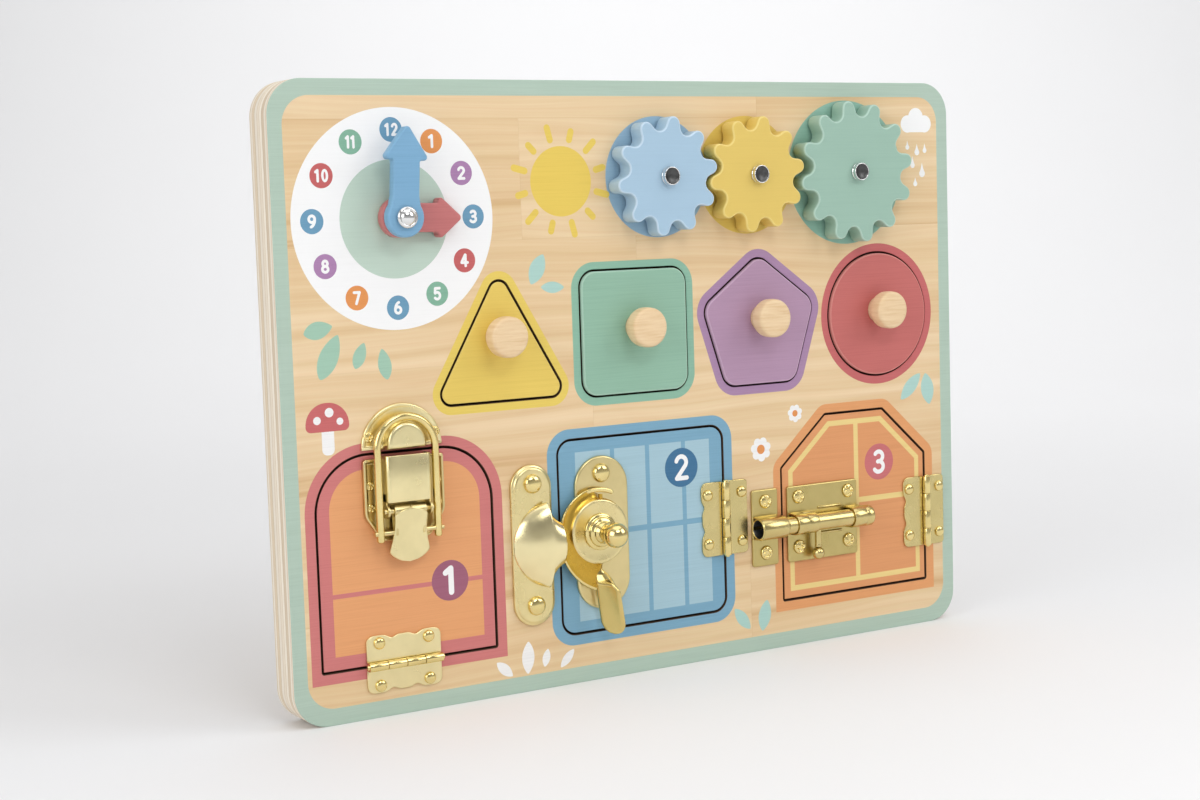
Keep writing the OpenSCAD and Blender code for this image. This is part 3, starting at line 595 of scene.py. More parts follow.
def flat_fill(outer, holes, regions):
    """Triangulates a flat printed face. regions: [(polygon, material name)] in painting order.
    Returns points, triangles, the colour index of each (-1 is the ground) and each point's input index."""
    loops = [outer] + holes + [r[0] for r in regions]
    pts, edges = [], []
    for lp in loops:
        s = len(pts)
        pts += [Vector((p[0], p[1])) for p in lp]
        edges += [(s + i, s + (i + 1) % len(lp)) for i in range(len(lp))]
    v, e, f, ov, oe, of_ = delaunay_2d_cdt(pts, edges, [], 0, 1e-5)
    P2 = np.array([(p.x, p.y) for p in v])
    T = np.array([t for t in f if len(t) == 3], int)
    cen = P2[T].mean(axis=1)
    keep = inside(cen[:, 0], cen[:, 1], outer)
    for h in holes:
        keep &= ~inside(cen[:, 0], cen[:, 1], h)
    a, b, c = P2[T[:, 0]], P2[T[:, 1]], P2[T[:, 2]]
    area = (b[:, 0] - a[:, 0]) * (c[:, 1] - a[:, 1]) - (b[:, 1] - a[:, 1]) * (c[:, 0] - a[:, 0])
    keep &= np.abs(area) > 1e-9
    T, cen, area = T[keep], cen[keep], area[keep]
    T[area < 0] = T[area < 0][:, ::-1]
    col = np.full(len(T), -1)
    for i, (poly, _) in enumerate(regions):
        q = np.asarray(poly)
        lo, hi = q.min(0), q.max(0)
        m = (cen[:, 0] >= lo[0]) & (cen[:, 0] <= hi[0]) & (cen[:, 1] >= lo[1]) & (cen[:, 1] <= hi[1])
        idx = np.nonzero(m)[0]
        if len(idx):
            hit = inside(cen[idx, 0], cen[idx, 1], poly)
            col[idx[hit]] = i
    origin = {}
    for i, lst in enumerate(ov):
        for j in lst:
            origin[j] = i
    return P2, T, col, origin


class Build:
    """Collects faces with material names and makes one mesh object."""

    def __init__(self, name):
        self.name, self.v, self.f, self.mat, self.smooth = name, [], [], [], []

    def add(self, pts):
        s = len(self.v)
        self.v += [tuple(p) for p in pts]
        return list(range(s, s + len(pts)))

    def face(self, idx, mat, smooth=True):
        self.f.append(tuple(idx))
        self.mat.append(mat)
        self.smooth.append(smooth)

    def bridge(self, a, b, mat, closed=True, smooth=True):
        n = len(a)
        for i in range(n if closed else n - 1):
            j = (i + 1) % n
            self.face((a[i], a[j], b[j], b[i]), mat, smooth)

    def make(self, body, nodes=()):
        names = []
        for m in self.mat:
            if m not in names:
                names.append(m)
        me = bpy.data.meshes.new(self.name)
        me.from_pydata(self.v, [], self.f)
        for n in names:
            me.materials.append(M[n])
        me.polygons.foreach_set("material_index", [names.index(m) for m in self.mat])
        me.polygons.foreach_set("use_smooth", self.smooth)
        me.update()
        me.validate(clean_customdata=False)
        ob = bpy.data.objects.new(self.name, me)
        bpy.context.scene.collection.objects.link(ob)
        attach(ob, body)
        if nodes:
            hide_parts(*nodes)
        return ob


def slab(name, body, nodes, outer, holes, h0, h1, side, edge, ground, regions=(), back=None, e=0.8, eb=0.5, split=None, K=4):
    """A flat board: outline functions of growth, softly rounded edges, printed front.
    holes: [(function, side material, edge material)]. split: height above which the side wears the edge material."""
    B = Build(name)
    steps = [(eb, h0), (eb * 0.3, h0 + eb * 0.3), (0.0, h0 + eb)]
    if split is not None:
        steps.append((0.0, split))
    steps.append((0.0, h1 - e))
    for i in range(1, K + 1):
        a = pi / 2 * i / K
        steps.append((e * (1 - cos(a)), h1 - e * (1 - sin(a))))
    tops, backs = [], []
    for fn, sm, em, sg in [(outer, side, edge, -1)] + [(h[0], h[1], h[2], 1) for h in holes]:
        rings = []
        for inset, h in steps:
            rings.append(B.add([P(x, h, z) for x, z in fn(sg * inset)]))
        for k in range(len(rings) - 1):
            ha = steps[k][1]
            upper = (split is not None and ha >= split - 1e-6) or (split is None and ha >= h1 - e - 1e-6)
            m = em if upper else sm
            if sg < 0:
                B.bridge(rings[k], rings[k + 1], m)
            else:
                B.bridge(rings[k + 1], rings[k], m)
        tops.append((fn(sg * e), rings[-1]))
        backs.append((fn(sg * eb), rings[0]))
    for which, (loops, h, flip) in enumerate(((tops, h1, False), (backs, h0, True))):
        regs = list(regions) if which == 0 else []
        P2, T, col, origin = flat_fill(loops[0][0], [l[0] for l in loops[1:]], regs)
        ring_idx = []
        for l in loops:
            ring_idx += l[1]
        vm = {}
        for i_in, i_out in origin.items():
            if i_in < len(ring_idx):
                vm[i_out] = ring_idx[i_in]
        used = sorted(set(T.ravel().tolist()))
        fresh = [i for i in used if i not in vm]
        new = B.add([P(P2[i][0], h, P2[i][1]) for i in fresh])
        vm.update(dict(zip(fresh, new)))
        for t, c in zip(T, col):
            ids = [vm[int(i)] for i in t]
            if len(set(ids)) < 3:
                continue
            if flip:
                ids = ids[::-1]
            m = (regs[c][1] if c >= 0 else ground) if which == 0 else (back or side)
            B.face(ids, m, False)
    return B.make(body, nodes)


# ------------------------------------------------------------------ prints
def number(ch, c, H, w, disc_r, disc, ink="white", narrow=1.0, gap=0.0, dz=0.0, dx=0.0):
    r = [(circle(c[0], c[1], disc_r, 56), disc)]
    n = len(ch)
    for i, k in enumerate(ch):
        x = c[0] + dx + (i - (n - 1) / 2) * gap
        for poly, on in digit(k, x, c[1] + dz, H, w, narrow):
            r.append((poly, ink if on else disc))
    return r


face_print = [(rrect(-193.1, 192.4, 8.1, 292.35, 13.5, 0, 16), "wood")]
# clock
face_print += [(circle(DIAL[0], DIAL[1], 51.9, 120), "white"), (circle(DIAL[0], DIAL[1], 27.8, 96), "dial")]
NUM = {12: "n_blue", 1: "n_orange", 2: "n_purple", 3: "n_blue", 4: "n_red", 5: "n_green", 6: "n_blue", 7: "n_orange", 8: "n_purple", 9: "n_blue", 10: "n_red", 11: "n_green"}
for k, colr in NUM.items():
    t = math.radians(90 - 30 * k)
    c = (DIAL[0] + 41.5 * cos(t), DIAL[1] + 41.5 * sin(t))
    if k < 10:
        face_print += number(str(k), c, 6.6, 1.35, 5.75, colr, narrow=1.0)
    else:
        face_print += number(str(k), c, 6.2, 1.25, 5.75, colr, narrow=0.82 if k != 11 else 0.7, gap=3.75 if k != 11 else 2.7, dx=-0.1 if k == 10 else 0.0)
# discs under the gears
face_print += [(circle(GEARS[2][0], GEARS[2][1], 38.2, 90), "gg_d"), (circle(GEARS[1][0], GEARS[1][1], 30.4, 80), "gy_d"), (circle(GEARS[0][0], GEARS[0][1], 30.4, 80), "gb_d")]
# a plain sun
sc = (-48.5, 250.8)
face_print.append((circle(sc[0], sc[1], 17.2, 72), "sun"))
for i in range(12):
    t = 2 * pi * (i + 0.5) / 12
    a = (sc[0] + 20.9 * cos(t), sc[1] + 20.9 * sin(t))
    b = (sc[0] + (27.0 if i % 2 else 25.0) * cos(t), sc[1] + (27.0 if i % 2 else 25.0) * sin(t))
    face_print.append((capsule(a, b, 3.4), "sun"))
# leaves
for a, b, w in [((-187.2, 183.7), (-173.0, 186.7), 8.2), ((-180.1, 162.4), (-170.4, 182.6), 9.6), ((-162.3, 166.3), (-157.3, 178.1), 6.3), ((-146.1, 160.2), (-148.4, 174.8), 6.8)]:
    face_print.append((leaf(a, b, w, 0.46), "mint"))
for a, b, w in [((-60.0, 215.5), (-67.3, 201.2), 8.4), ((-61.8, 199.5), (-48.8, 198.9), 5.6), ((177.9, 140.4), (164.0, 126.9), 7.6), ((181.7, 140.3), (184.3, 122.9), 9.0), ((48.7, 24.7), (58.4, 13.0), 6.4), ((69.8, 26.9), (66.3, 10.7), 8.0)]:
    face_print.append((leaf(a, b, w, 0.5), "aqua"))
for a, b, w in [((-93.9, 17.0), (-85.4, 9.2), 5.2), ((-75.9, 25.1), (-76.7, 9.0), 7.0), ((-64.9, 19.9), (-67.1, 11.1), 4.4), ((-50.0, 17.6), (-57.9, 9.5), 4.6)]:
    face_print.append((leaf(a, b, w, 0.5), "white_leaf"))
# daisies
for (cx, cz), r, rc in [((91.0, 125.1), 4.7, 1.75), ((68.1, 107.8), 6.4, 2.5)]:
    for i in range(7):
        t = 2 * pi * i / 7 + 0.3
        face_print.append((circle(cx + r * 0.66 * cos(t), cz + r * 0.66 * sin(t), r * 0.36, 20), "white_leaf"))
    face_print.append((circle(cx, cz, r * 0.66, 32), "white_leaf"))
    face_print.append((circle(cx, cz, rc, 28), "n_orange"))
# rain cloud
face_print += [(rrect(167.2, 188.5, 273.3, 282.2, 4.4, 0, 10), "white"), (circle(171.9, 277.8, 4.7, 40), "white"), (circle(183.9, 277.8, 4.7, 40), "white"), (circle(177.8, 281.3, 5.2, 44), "white")]
for x, z1, z0, w in [(171.65, 268.8, 263.8, 2.6), (178.35, 267.0, 260.7, 3.4), (183.85, 267.3, 261.9, 2.7), (175.15, 260.5, 253.8, 3.0), (181.8, 256.8, 248.7, 4.0), (176.85, 248.8, 243.8, 2.8)]:
    face_print.append((drop((x, z1), (x, z0), w), "white_leaf"))
# a small toadstool
face_print += [(rrect(-180.6, -174.4, 127.2, 141.0, 2.6, 0, 8), "white_leaf"),
               (fillet([(-188.4, 138.2), (-166.6, 138.2), (-166.6, 151.6), (-188.4, 151.6)], [2.6, 2.6, 10.4, 10.4], 0, 14), "rose"),
               (circle(-182.6, 143.6, 1.9, 24), "white_leaf"), (circle(-176.4, 147.0, 2.2, 24), "white_leaf"), (circle(-171.2, 142.6, 1.7, 24), "white_leaf")]
# grounds round the pieces
face_print += [(tri_o(4.7), "tri_s"), (rrect(-44.7, 27.4, 138.9, 210.6, 13, 0, 14), "sq_s"), (pent_o(4.8), "pent_s"), (circle(CIRC[0], CIRC[1], 38.3, 110), "circ_s")]
# grounds round the doors
face_print += [(fillet([(-190.9, 19.6), (-87.7, 19.6), (-87.7, 131.3), (-190.9, 131.3)], [0, 0, 32, 32], 0, 20), "d1_frame"),
               (rrect(-61.8, 49.3, 19.4, 128.4, 12.8, 0, 14), "d2"),
               (fillet([(75.7, 19.3), (185.5, 19.3), (185.5, 98.7), (152.9, 128.4), (108.3, 128.4), (75.7, 98.7)], [0, 0, 9, 9, 9, 9], 0, 10), "d3_s")]

slab("front_board", "board", ["front_panel"], board_o,
     [(lambda g: door1_o(g + HALF), "cut", "cut"), (lambda g: door2_o(g + HALF), "cut", "cut"), (lambda g: door3_o(g + HALF), "cut", "cut"),
      (lambda g: tri_o(g + HALF), "cut", "cut"), (lambda g: sq_o(g + HALF), "cut", "sq_s"), (lambda g: pent_o(g + HALF), "cut", "pent_s"), (lambda g: circ_o(g + HALF), "cut", "circ_s")],
     -7.0, 0.0, "ply", "sage", "sage", face_print, back="ply", e=0.35, eb=0.02, K=3)


def inset_door(fn, g):
    return lambda k: fn(g + k)


# a ring of toasted brown round every cut line on the core's face: laser scorch under the cut, and painted shade in the
# gap
slab("core_board", "board", ["core_panel"], board_o,
     [(inset_door(door1_o, -4.0), "ply", "ply"), (inset_door(door2_o, -4.0), "ply", "ply"), (inset_door(door3_o, -4.0), "ply", "ply")],
     -16.0, -7.0, "ply", "ply", "inside", [r for f in (tri_o, sq_o, pent_o, circ_o) for r in ((f(1.0), "cut"), (f(-1.0), "inside"))]
     + [(f(1.0), "cut") for f in (door1_o, door2_o, door3_o)] + [(f(-1.0), "inside") for f in (door1_o, door2_o, door3_o)], back="ply", e=0.02, eb=0.02, K=1)
slab("back_board", "board", ["back_panel"], board_o, [], -22.0, -16.0, "ply", "ply", "inside", [], back="wood", e=0.02, eb=0.6, K=1)

# ------------------------------------------------------------------ doors
d1_print = [(fillet([(-178.7, 32.1), (-100.1, 32.1), (-100.1, 119.0), (-178.7, 119.0)], [0, 0, 19, 19], 0, 16), "d1_panel"),
            ([(-179.5, 59.5), (-99.5, 59.5), (-99.5, 61.7), (-179.5, 61.7)], "d1_frame")]
d1_print += number("1", (-117.6, 61.1), 14.4, 2.9, 9.85, "d1_disc", dx=-0.2)
slab("door_one_leaf", "door_one", ["door_1"], lambda g: door1_o(g - HALF), [], -6.7, 0.0, "cut", "d1_frame", "d1_frame", d1_print, back="ply", e=0.35, eb=0.3, K=3)

d2_print = []
for x0, x1 in ((-45.8, -25.3), (-22.8, -4.4), (-1.9, 17.6), (20.1, 35.0)):
    for z0, z1 in ((31.0, 73.1), (75.9, 116.5)):
        d2_print.append(([(x0, z0), (x1, z0), (x1, z1), (x0, z1)], "d2_pane"))
d2_print += number("2", (17.5, 103.0), 14.2, 2.35, 10.1, "d2_disc")
slab("door_two_leaf", "door_two", ["door_2"], lambda g: door2_o(g - HALF), [], -6.7, 0.0, "cut", "d2", "d2", d2_print, back="ply", e=0.35, eb=0.3, K=3)

o3 = [(87.05, 31.0), (174.1, 31.0), (174.1, 94.1), (148.7, 117.6), (113.2, 117.6), (87.05, 94.1)]
d3_print = [(fillet(o3, 0, 1.45), "d3_bar"), (fillet(o3, 0, -1.45), "d3"),
            ([(130.2, 30), (133.2, 30), (133.2, 118), (130.2, 118)], "d3_bar"), ([(87, 72.7), (174, 72.7), (174, 75.7), (87, 75.7)], "d3_bar")]
d3_print += number("3", (147.6, 93.9), 14.2, 2.35, 10.0, "d3_disc")
slab("door_three_leaf", "door_three", ["door_3"], lambda g: door3_o(g - HALF), [], -6.7, 0.0, "cut", "d3", "d3", d3_print, back="ply", e=0.35, eb=0.3, K=3)

# ------------------------------------------------------------------ shape pieces and knobs
for i, (nm, fn, body, col) in enumerate((("triangle", tri_o, "triangle", "tri"), ("square", sq_o, "square", "sq"), ("pentagon", pent_o, "pentagon", "pent"), ("circle", circ_o, "disc", "circ"))):
    # the side above -0.5 mm and the rounded edge wear the lighter rim paint, a painted highlight; below it the dark
    # laser-cut edge
    slab("shape_" + nm, body, ["piece_" + nm], (lambda f: lambda g: f(g - HALF))(fn), [], -6.7, PROUD[i], "cut", col + "_l", col, [], back="ply",
         e=0.35 if i == 0 else 0.75, eb=0.3, split=-0.5, K=4)


def lathe(name, body, nodes, c, prof, mat, n=56, wob=0.0):
    """Turned piece standing out of the face: prof is [(radius, height)] from its foot to its top, both ends closed."""
    B = Build(name)
    rings = []
    for r, h in prof:
        if r < 1e-6:
            rings.append(B.add([P(c[0], h, c[1])]))
        else:
            rings.append(B.add([P(c[0] + r * cos(2 * pi * k / n), h, c[1] + r * sin(2 * pi * k / n)) for k in range(n)]))
    ms = mat if isinstance(mat, list) else [mat] * (len(rings) - 1)
    for k in range(len(rings) - 1):
        a, b = rings[k], rings[k + 1]
        if len(a) == 1 and len(b) == 1:
            continue
        for i in range(n):
            j = (i + 1) % n
            if len(a) == 1:
                B.face((a[0], b[j], b[i]), ms[k])
            elif len(b) == 1:
                B.face((a[i], a[j], b[0]), ms[k])
            else:
                B.face((a[i], a[j], b[j], b[i]), ms[k])
    return B.make(body, nodes)


def quarter(r_c, h_c, r, a0, a1, n=6):
    """Profile arc: centre at (r_c, h_c)."""
    return [(r_c + r * cos(math.radians(a0 + (a1 - a0) * i / n)), h_c + r * sin(math.radians(a0 + (a1 - a0) * i / n))) for i in range(n + 1)]


for i, (nm, body) in enumerate((("triangle", "triangle"), ("square", "square"), ("pentagon", "pentagon"), ("circle", "disc"))):
    b = PROUD[i]
    prof = [(0, b - 5.4), (2.9, b - 5.4), (2.9, b + 0.02), (6.9, b + 0.02), (6.6, b + 1.2), (6.55, b + 3.0), (7.3, b + 4.3)]
    prof += quarter(7.5, b + 6.6, 2.4, -70, 0, 5) + [(10.0, b + 8.2), (10.0, b + 10.2)] + quarter(8.3, b + 11.7, 1.6, 8, 82, 6) + [(8.2, b + 13.36), (6.0, b + 13.46), (3.0, b + 13.5), (0, b + 13.5)]
    lathe("knob_" + nm + "_turned", body, ["knob_" + nm], KNOBS[i], prof, "knob")


# ------------------------------------------------------------------ gears and hands
def gear_o(n, tip, root, ra, rb, ph, c, g=0.0, m=10):
    ca, cb, hp = tip - ra, root + rb, pi / n
    ra, rb = ra + g, rb - g
    A = (ca, 0.0)
    Bc = (cb * cos(hp), cb * sin(hp))
    d = (Bc[0] - A[0], Bc[1] - A[1])
    f = math.degrees(math.atan2(d[1], d[0]))
    q = math.degrees(math.acos((ra + rb) / math.hypot(*d)))
    ta = f - q if abs(f - q - 90) < abs(f + q - 90) else f + q
    dv = (ta - math.degrees(hp) + 540) % 360 - 180
    base = arc(A[0], A[1], ra, -ta, ta, m) + arc(Bc[0], Bc[1], rb, math.degrees(hp) + 180 + dv, math.degrees(hp) + 180 - dv, m)
    out = []
    for i in range(n):
        t = 2 * pi * i / n + math.radians(ph)
        out += [(c[0] + x * cos(t) - z * sin(t), c[1] + x * sin(t) + z * cos(t)) for x, z in base]
    return out


for nm, body, n, tip, root, ra, rb, ph, c, col in (("blue", "blue_gear", 10, 30.0, 22.8, 3.7, 4.2, 9.5, GEARS[0], "gear_b"), ("yellow", "yellow_gear", 10, 30.0, 22.8, 3.7, 4.2, 8.5, GEARS[1], "gear_y"), ("green", "green_gear", 12, 37.6, 29.3, 3.9, 4.4, 9.2, GEARS[2], "gear_g")):
    fn = (lambda n, tip, root, ra, rb, ph, c: lambda g: gear_o(n, tip, root, ra, rb, ph, c, g))(n, tip, root, ra, rb, ph, c)
    # the rounded front edge wears the lighter rim paint, a painted highlight
    slab("gear_" + nm + "_painted", body, ["gear_" + nm], fn, [((lambda c: lambda g: circle(c[0], c[1], 3.05 + g, 40)[::1])(c), col, col)], 1.3, 11.3, col, col + "_l", col, [], back=col, e=0.75, eb=0.5, K=4)


def hand_o(ang, sw, hw, hz, ln, g=0.0):
    """Arrow hand: round hub, slightly widening shaft, barbed head."""
    hub = 9.3
    t0 = math.degrees(math.asin(sw / hub))
    hubp = arc(0, 0, hub + g, 90 + t0 + 8, 450 - t0 - 8, 36)
    x0, z0 = hub * sin(math.radians(t0 + 8)), hub * cos(math.radians(t0 + 8))
    # the rest of the outline as a filleted open run: right shaft up, barb, tip, barb, left shaft down
    v = [(x0, z0), (sw, hub + 0.6), (sw, hz), (hw, hz), (0.0, ln + 1.0), (-hw, hz), (-sw, hz), (-sw, hub + 0.6), (-x0, z0)]
    pts = fillet(v + [(-x0 * 0.4, -2.0), (x0 * 0.4, -2.0)], [0.01, 2.0, 1.0, 1.6, 1.8, 1.6, 1.0, 2.0, 0.01, 0.01, 0.01], g, 6)
    run = pts[7:7 + 7 * 7]
    out = hubp + run
    a = math.radians(ang)
    return [(CLOCK[0] + x * cos(a) + z * sin(a), CLOCK[1] - x * sin(a) + z * cos(a)) for x, z in out]


slab("hour_hand_painted", "hour", ["hour_hand"], lambda g: hand_o(91.5, 6.8, 11.2, 19.5, 31.6, g), [(lambda g: circle(CLOCK[0], CLOCK[1], 2.55 + g, 32), "hand_r", "hand_r")],
     1.3, 7.0, "hand_r", "hand_r", "hand_r", [], back="hand_r", e=0.9, eb=0.5, K=4)
slab("minute_hand_painted", "minute", ["minute_hand"], lambda g: hand_o(3.5, 6.7, 11.9, 26.4, 42.3, g), [(lambda g: circle(CLOCK[0], CLOCK[1], 2.55 + g, 32), "hand_b", "hand_b")],
     8.1, 13.2, "hand_b", "hand_b", "hand_b", [], back="hand_b", e=0.9, eb=0.5, K=4)

# ------------------------------------------------------------------ hardware
def grown(poly):
    """Outline as a function of growth, by moving each point along its own outward normal."""
    k = len(poly)
    nrm = []
    for i in range(k):
        a, b, c = poly[i - 1], poly[i], poly[(i + 1) % k]
        n1 = (b[1] - a[1], a[0] - b[0])
        n2 = (c[1] - b[1], b[0] - c[0])
        l1, l2 = math.hypot(*n1) or 1, math.hypot(*n2) or 1
        m = (n1[0] / l1 + n2[0] / l2, n1[1] / l1 + n2[1] / l2)
        q = (m[0] * m[0] + m[1] * m[1]) / 2 or 1
        nrm.append((m[0] / q, m[1] / q) if q > 0.3 else (m[0], m[1]))
    return lambda g: [(x + g * nx, z + g * nz) for (x, z), (nx, nz) in zip(poly, nrm)]


def loops_fill(B, fn, inset, ring, at, mat, flip, holes=()):
    """Closes an end with triangles; at(a, b) gives the 3-D point of a new inner vertex, holes are (outline, ring)."""
    P2, T, col, origin = flat_fill(fn(-inset), [h[0] for h in holes], [])
    ids = list(ring)
    for h in holes:
        ids += list(h[1])
    vm = {o: ids[i] for i, o in origin.items() if i < len(ids)}
    for i in sorted(set(T.ravel().tolist())):
        if i not in vm:
            vm[i] = B.add([at(*P2[i])])[0]
    for t in T:
        q = [vm[int(i)] for i in t]
        if len(set(q)) == 3:
            B.face(q[::-1] if flip else q, mat, False)


def dish(B, fn, steps, mat, back=None, holes=()):
    """Pressed plate: steps are (inset, height) rings from the back edge to the front fill; holes are circles (x, z, r)."""
    rings = [B.add([P(x, h, z) for x, z in fn(-g)]) for g, h in steps]
    for k in range(len(rings) - 1):
        B.bridge(rings[k], rings[k + 1], mat)
    hs = []
    for x, z, r in holes:
        lo = B.add([P(a, steps[0][1], b) for a, b in circle(x, z, r, 28)])
        hi = B.add([P(a, steps[-1][1], b) for a, b in circle(x, z, r, 28)])
        B.bridge(hi, lo, mat)
        hs.append((circle(x, z, r, 28), lo, hi))
    loops_fill(B, fn, steps[-1][0], rings[-1], lambda x, z: P(x, steps[-1][1], z), mat, False, [(h[0], h[2]) for h in hs])
    loops_fill(B, fn, steps[0][0], rings[0], lambda x, z: P(x, steps[0][1], z), back or mat, True, [(h[0], h[1]) for h in hs])


def prism(B, poly, at, t0, t1, mat, e=0.3):
    """Extrusion of a section between t0 and t1 with softened ends; at(a, b, t) gives (x, h, z)."""
    fn = grown(poly)
    rings = [B.add([P(*at(a, b, t)) for a, b in fn(-g)]) for g, t in ((e, t0), (0.3 * e, t0 + 0.3 * e), (0, t0 + e), (0, t1 - e), (0.3 * e, t1 - 0.3 * e), (e, t1))]
    for k in range(5):
        B.bridge(rings[k], rings[k + 1], mat)
    loops_fill(B, fn, e, rings[-1], lambda a, b: P(*at(a, b, t1)), mat, False)
    loops_fill(B, fn, e, rings[0], lambda a, b: P(*at(a, b, t0)), mat, True)


def sweep_tube(B, path, r, mat, n=20, caps=True):
    """Round rod along 3-D points given as (x, h, z); r may be a list of radii."""
    pts = [Vector(P(*q)) for q in path]
    rr = r if isinstance(r, (list, tuple)) else [r] * len(pts)
    ref = None
    rings = []
    for i, q in enumerate(pts):
        t = (pts[min(i + 1, len(pts) - 1)] - pts[max(i - 1, 0)]).normalized()
        if ref is None:
            ref = Vector((0, 1, 0)) if abs(t.y) < 0.9 else Vector((1, 0, 0))
        u = (ref - t * ref.dot(t)).normalized()
        ref = u
        w = t.cross(u)
        rings.append(B.add([q + (u * cos(2 * pi * k / n) + w * sin(2 * pi * k / n)) * rr[i] * MM for k in range(n)]))
    for k in range(len(rings) - 1):
        B.bridge(rings[k], rings[k + 1], mat)
    if caps:
        B.face(rings[0][::-1], mat, False)
        B.face(rings[-1], mat, False)


def rod_path(a, b, r, e=0.35):
    """Straight rod between two (x, h, z) points with softened ends: returns path and radii."""
    d = [b[i] - a[i] for i in range(3)]
    L = math.sqrt(sum(v * v for v in d))
    d = [v / L for v in d]
    st = [(0, r - e), (0.3 * e, r - 0.3 * e), (e, r), (L - e, r), (L - 0.3 * e, r - 0.3 * e), (L, r - e)]
    return [tuple(a[i] + d[i] * t for i in range(3)) for t, _ in st], [q for _, q in st]


def turn(B, c, prof, mat, n=40):
    """Turned shape added to a mesh: [(radius, height)] from foot to top."""
    rings = []
    for r, h in prof:
        rings.append(B.add([P(c[0], h, c[1])]) if r < 1e-6 else B.add([P(c[0] + r * cos(2 * pi * k / n), h, c[1] + r * sin(2 * pi * k / n)) for k in range(n)]))
    for k in range(len(rings) - 1):
        a, b = rings[k], rings[k + 1]
        m = mat[k] if isinstance(mat, list) else mat
        for i in range(n):
            j = (i + 1) % n
            if len(a) == 1 and len(b) == 1:
                continue
            if len(a) == 1:
                B.face((a[0], b[j], b[i]), m)
            elif len(b) == 1:
                B.face((a[i], a[j], b[0]), m)
            else:
                B.face((a[i], a[j], b[j], b[i]), m)


def dome(B, c, r, h0, t, mat, shank=1.1, deep=5.0):
    prof = [(0, -deep), (shank, -deep), (shank, h0 - 0.02), (r - 0.12, h0 + 0.02), (r, h0 + 0.14), (r, h0 + 0.20 * t)]
    for i in range(1, 10):
        a = pi / 2 * i / 9
        prof.append((r * (0.97 * cos(a)) ** 0.9 if i < 9 else 0.0, h0 + t * (0.20 + 0.80 * sin(a) ** 0.95)))
    turn(B, c, prof, mat)


# clock pivot and cap
lathe("clock_pivot_pin", "board", ["clock_pivot"], CLOCK, [(0, -5.8), (2.4, -5.8), (2.5, -5.5), (2.5, 13.6), (2.2, 14.0), (0, 14.0)], "chrome", 40)
lathe("clock_cap_dome", "board", ["clock_cap"], CLOCK, [(0, 13.5), (4.9, 13.5), (5.2, 13.7), (5.25, 14.2), (5.0, 14.9), (4.55, 15.35), (4.1, 15.5), (3.9, 15.42), (3.75, 15.3), (3.6, 15.45), (3.0, 16.1), (2.2, 16.6), (1.2, 16.95), (0, 17.05)], "chrome", 56)
B = Build("gear_axle_pins")
for c in GEARS:
    turn(B, c, [(0, -12), (2.8, -12), (3.0, -11.7), (3.0, 11.5), (4.5, 11.5), (4.85, 11.7), (4.95, 12.1), (4.85, 12.5), (4.6, 12.7), (4.62, 13.0), (4.66, 14.3), (4.58, 14.65), (4.35, 14.8), (4.2, 14.72), (4.15, 14.6), (0, 14.6)],
         ["chrome"] * 14 + ["steel_and_bore_shade"], 48)
B.make("board", ["gear_axles"])


# hinges: leaves with waved outer edges, rolled knuckles, a pin with rounded ends
def hinge_frame(k):
    if k == 1:
        return (-143.8, 25.3), lambda u, v: (-143.8 + v, 25.3 - u)
    if k == 2:
        return (43.3, 74.0), lambda u, v: (43.3 + u, 74.0 + v)
    return (179.3, 63.6), lambda u, v: (179.3 + u, 63.6 + v)


def leaf_outline(reach, wavy, side):
    hl = 19.5
    edge = []
    for i in range(73):
        v = -hl + 2 * hl * i / 72
        a = abs(v)
        u = reach
        if wavy:
            u -= 1.75 * math.exp(-((a - 6.2) / 2.7) ** 2) + 0.55 * math.exp(-(v / 3.6) ** 2)
            if a > hl - 4.4:
                q = (a - hl + 4.4) / 4.4
                u -= 3.0 * (1 - math.sqrt(max(0.0, 1 - q * q)))
        elif a > hl - 2.2:
            q = (a - hl + 2.2) / 2.2
            u -= 2.2 * (1 - math.sqrt(max(0.0, 1 - q * q)))
        edge.append((u, v))
    pts = [(1.9, -hl)] + edge + [(1.9, hl)]
    return [(side * u, v) for u, v in pts]


def put(poly, tr):
    q = [tr(u, v) for u, v in poly]
    area = sum(q[i - 1][0] * q[i][1] - q[i][0] * q[i - 1][1] for i in range(len(q)))
    return q if area > 0 else q[::-1]


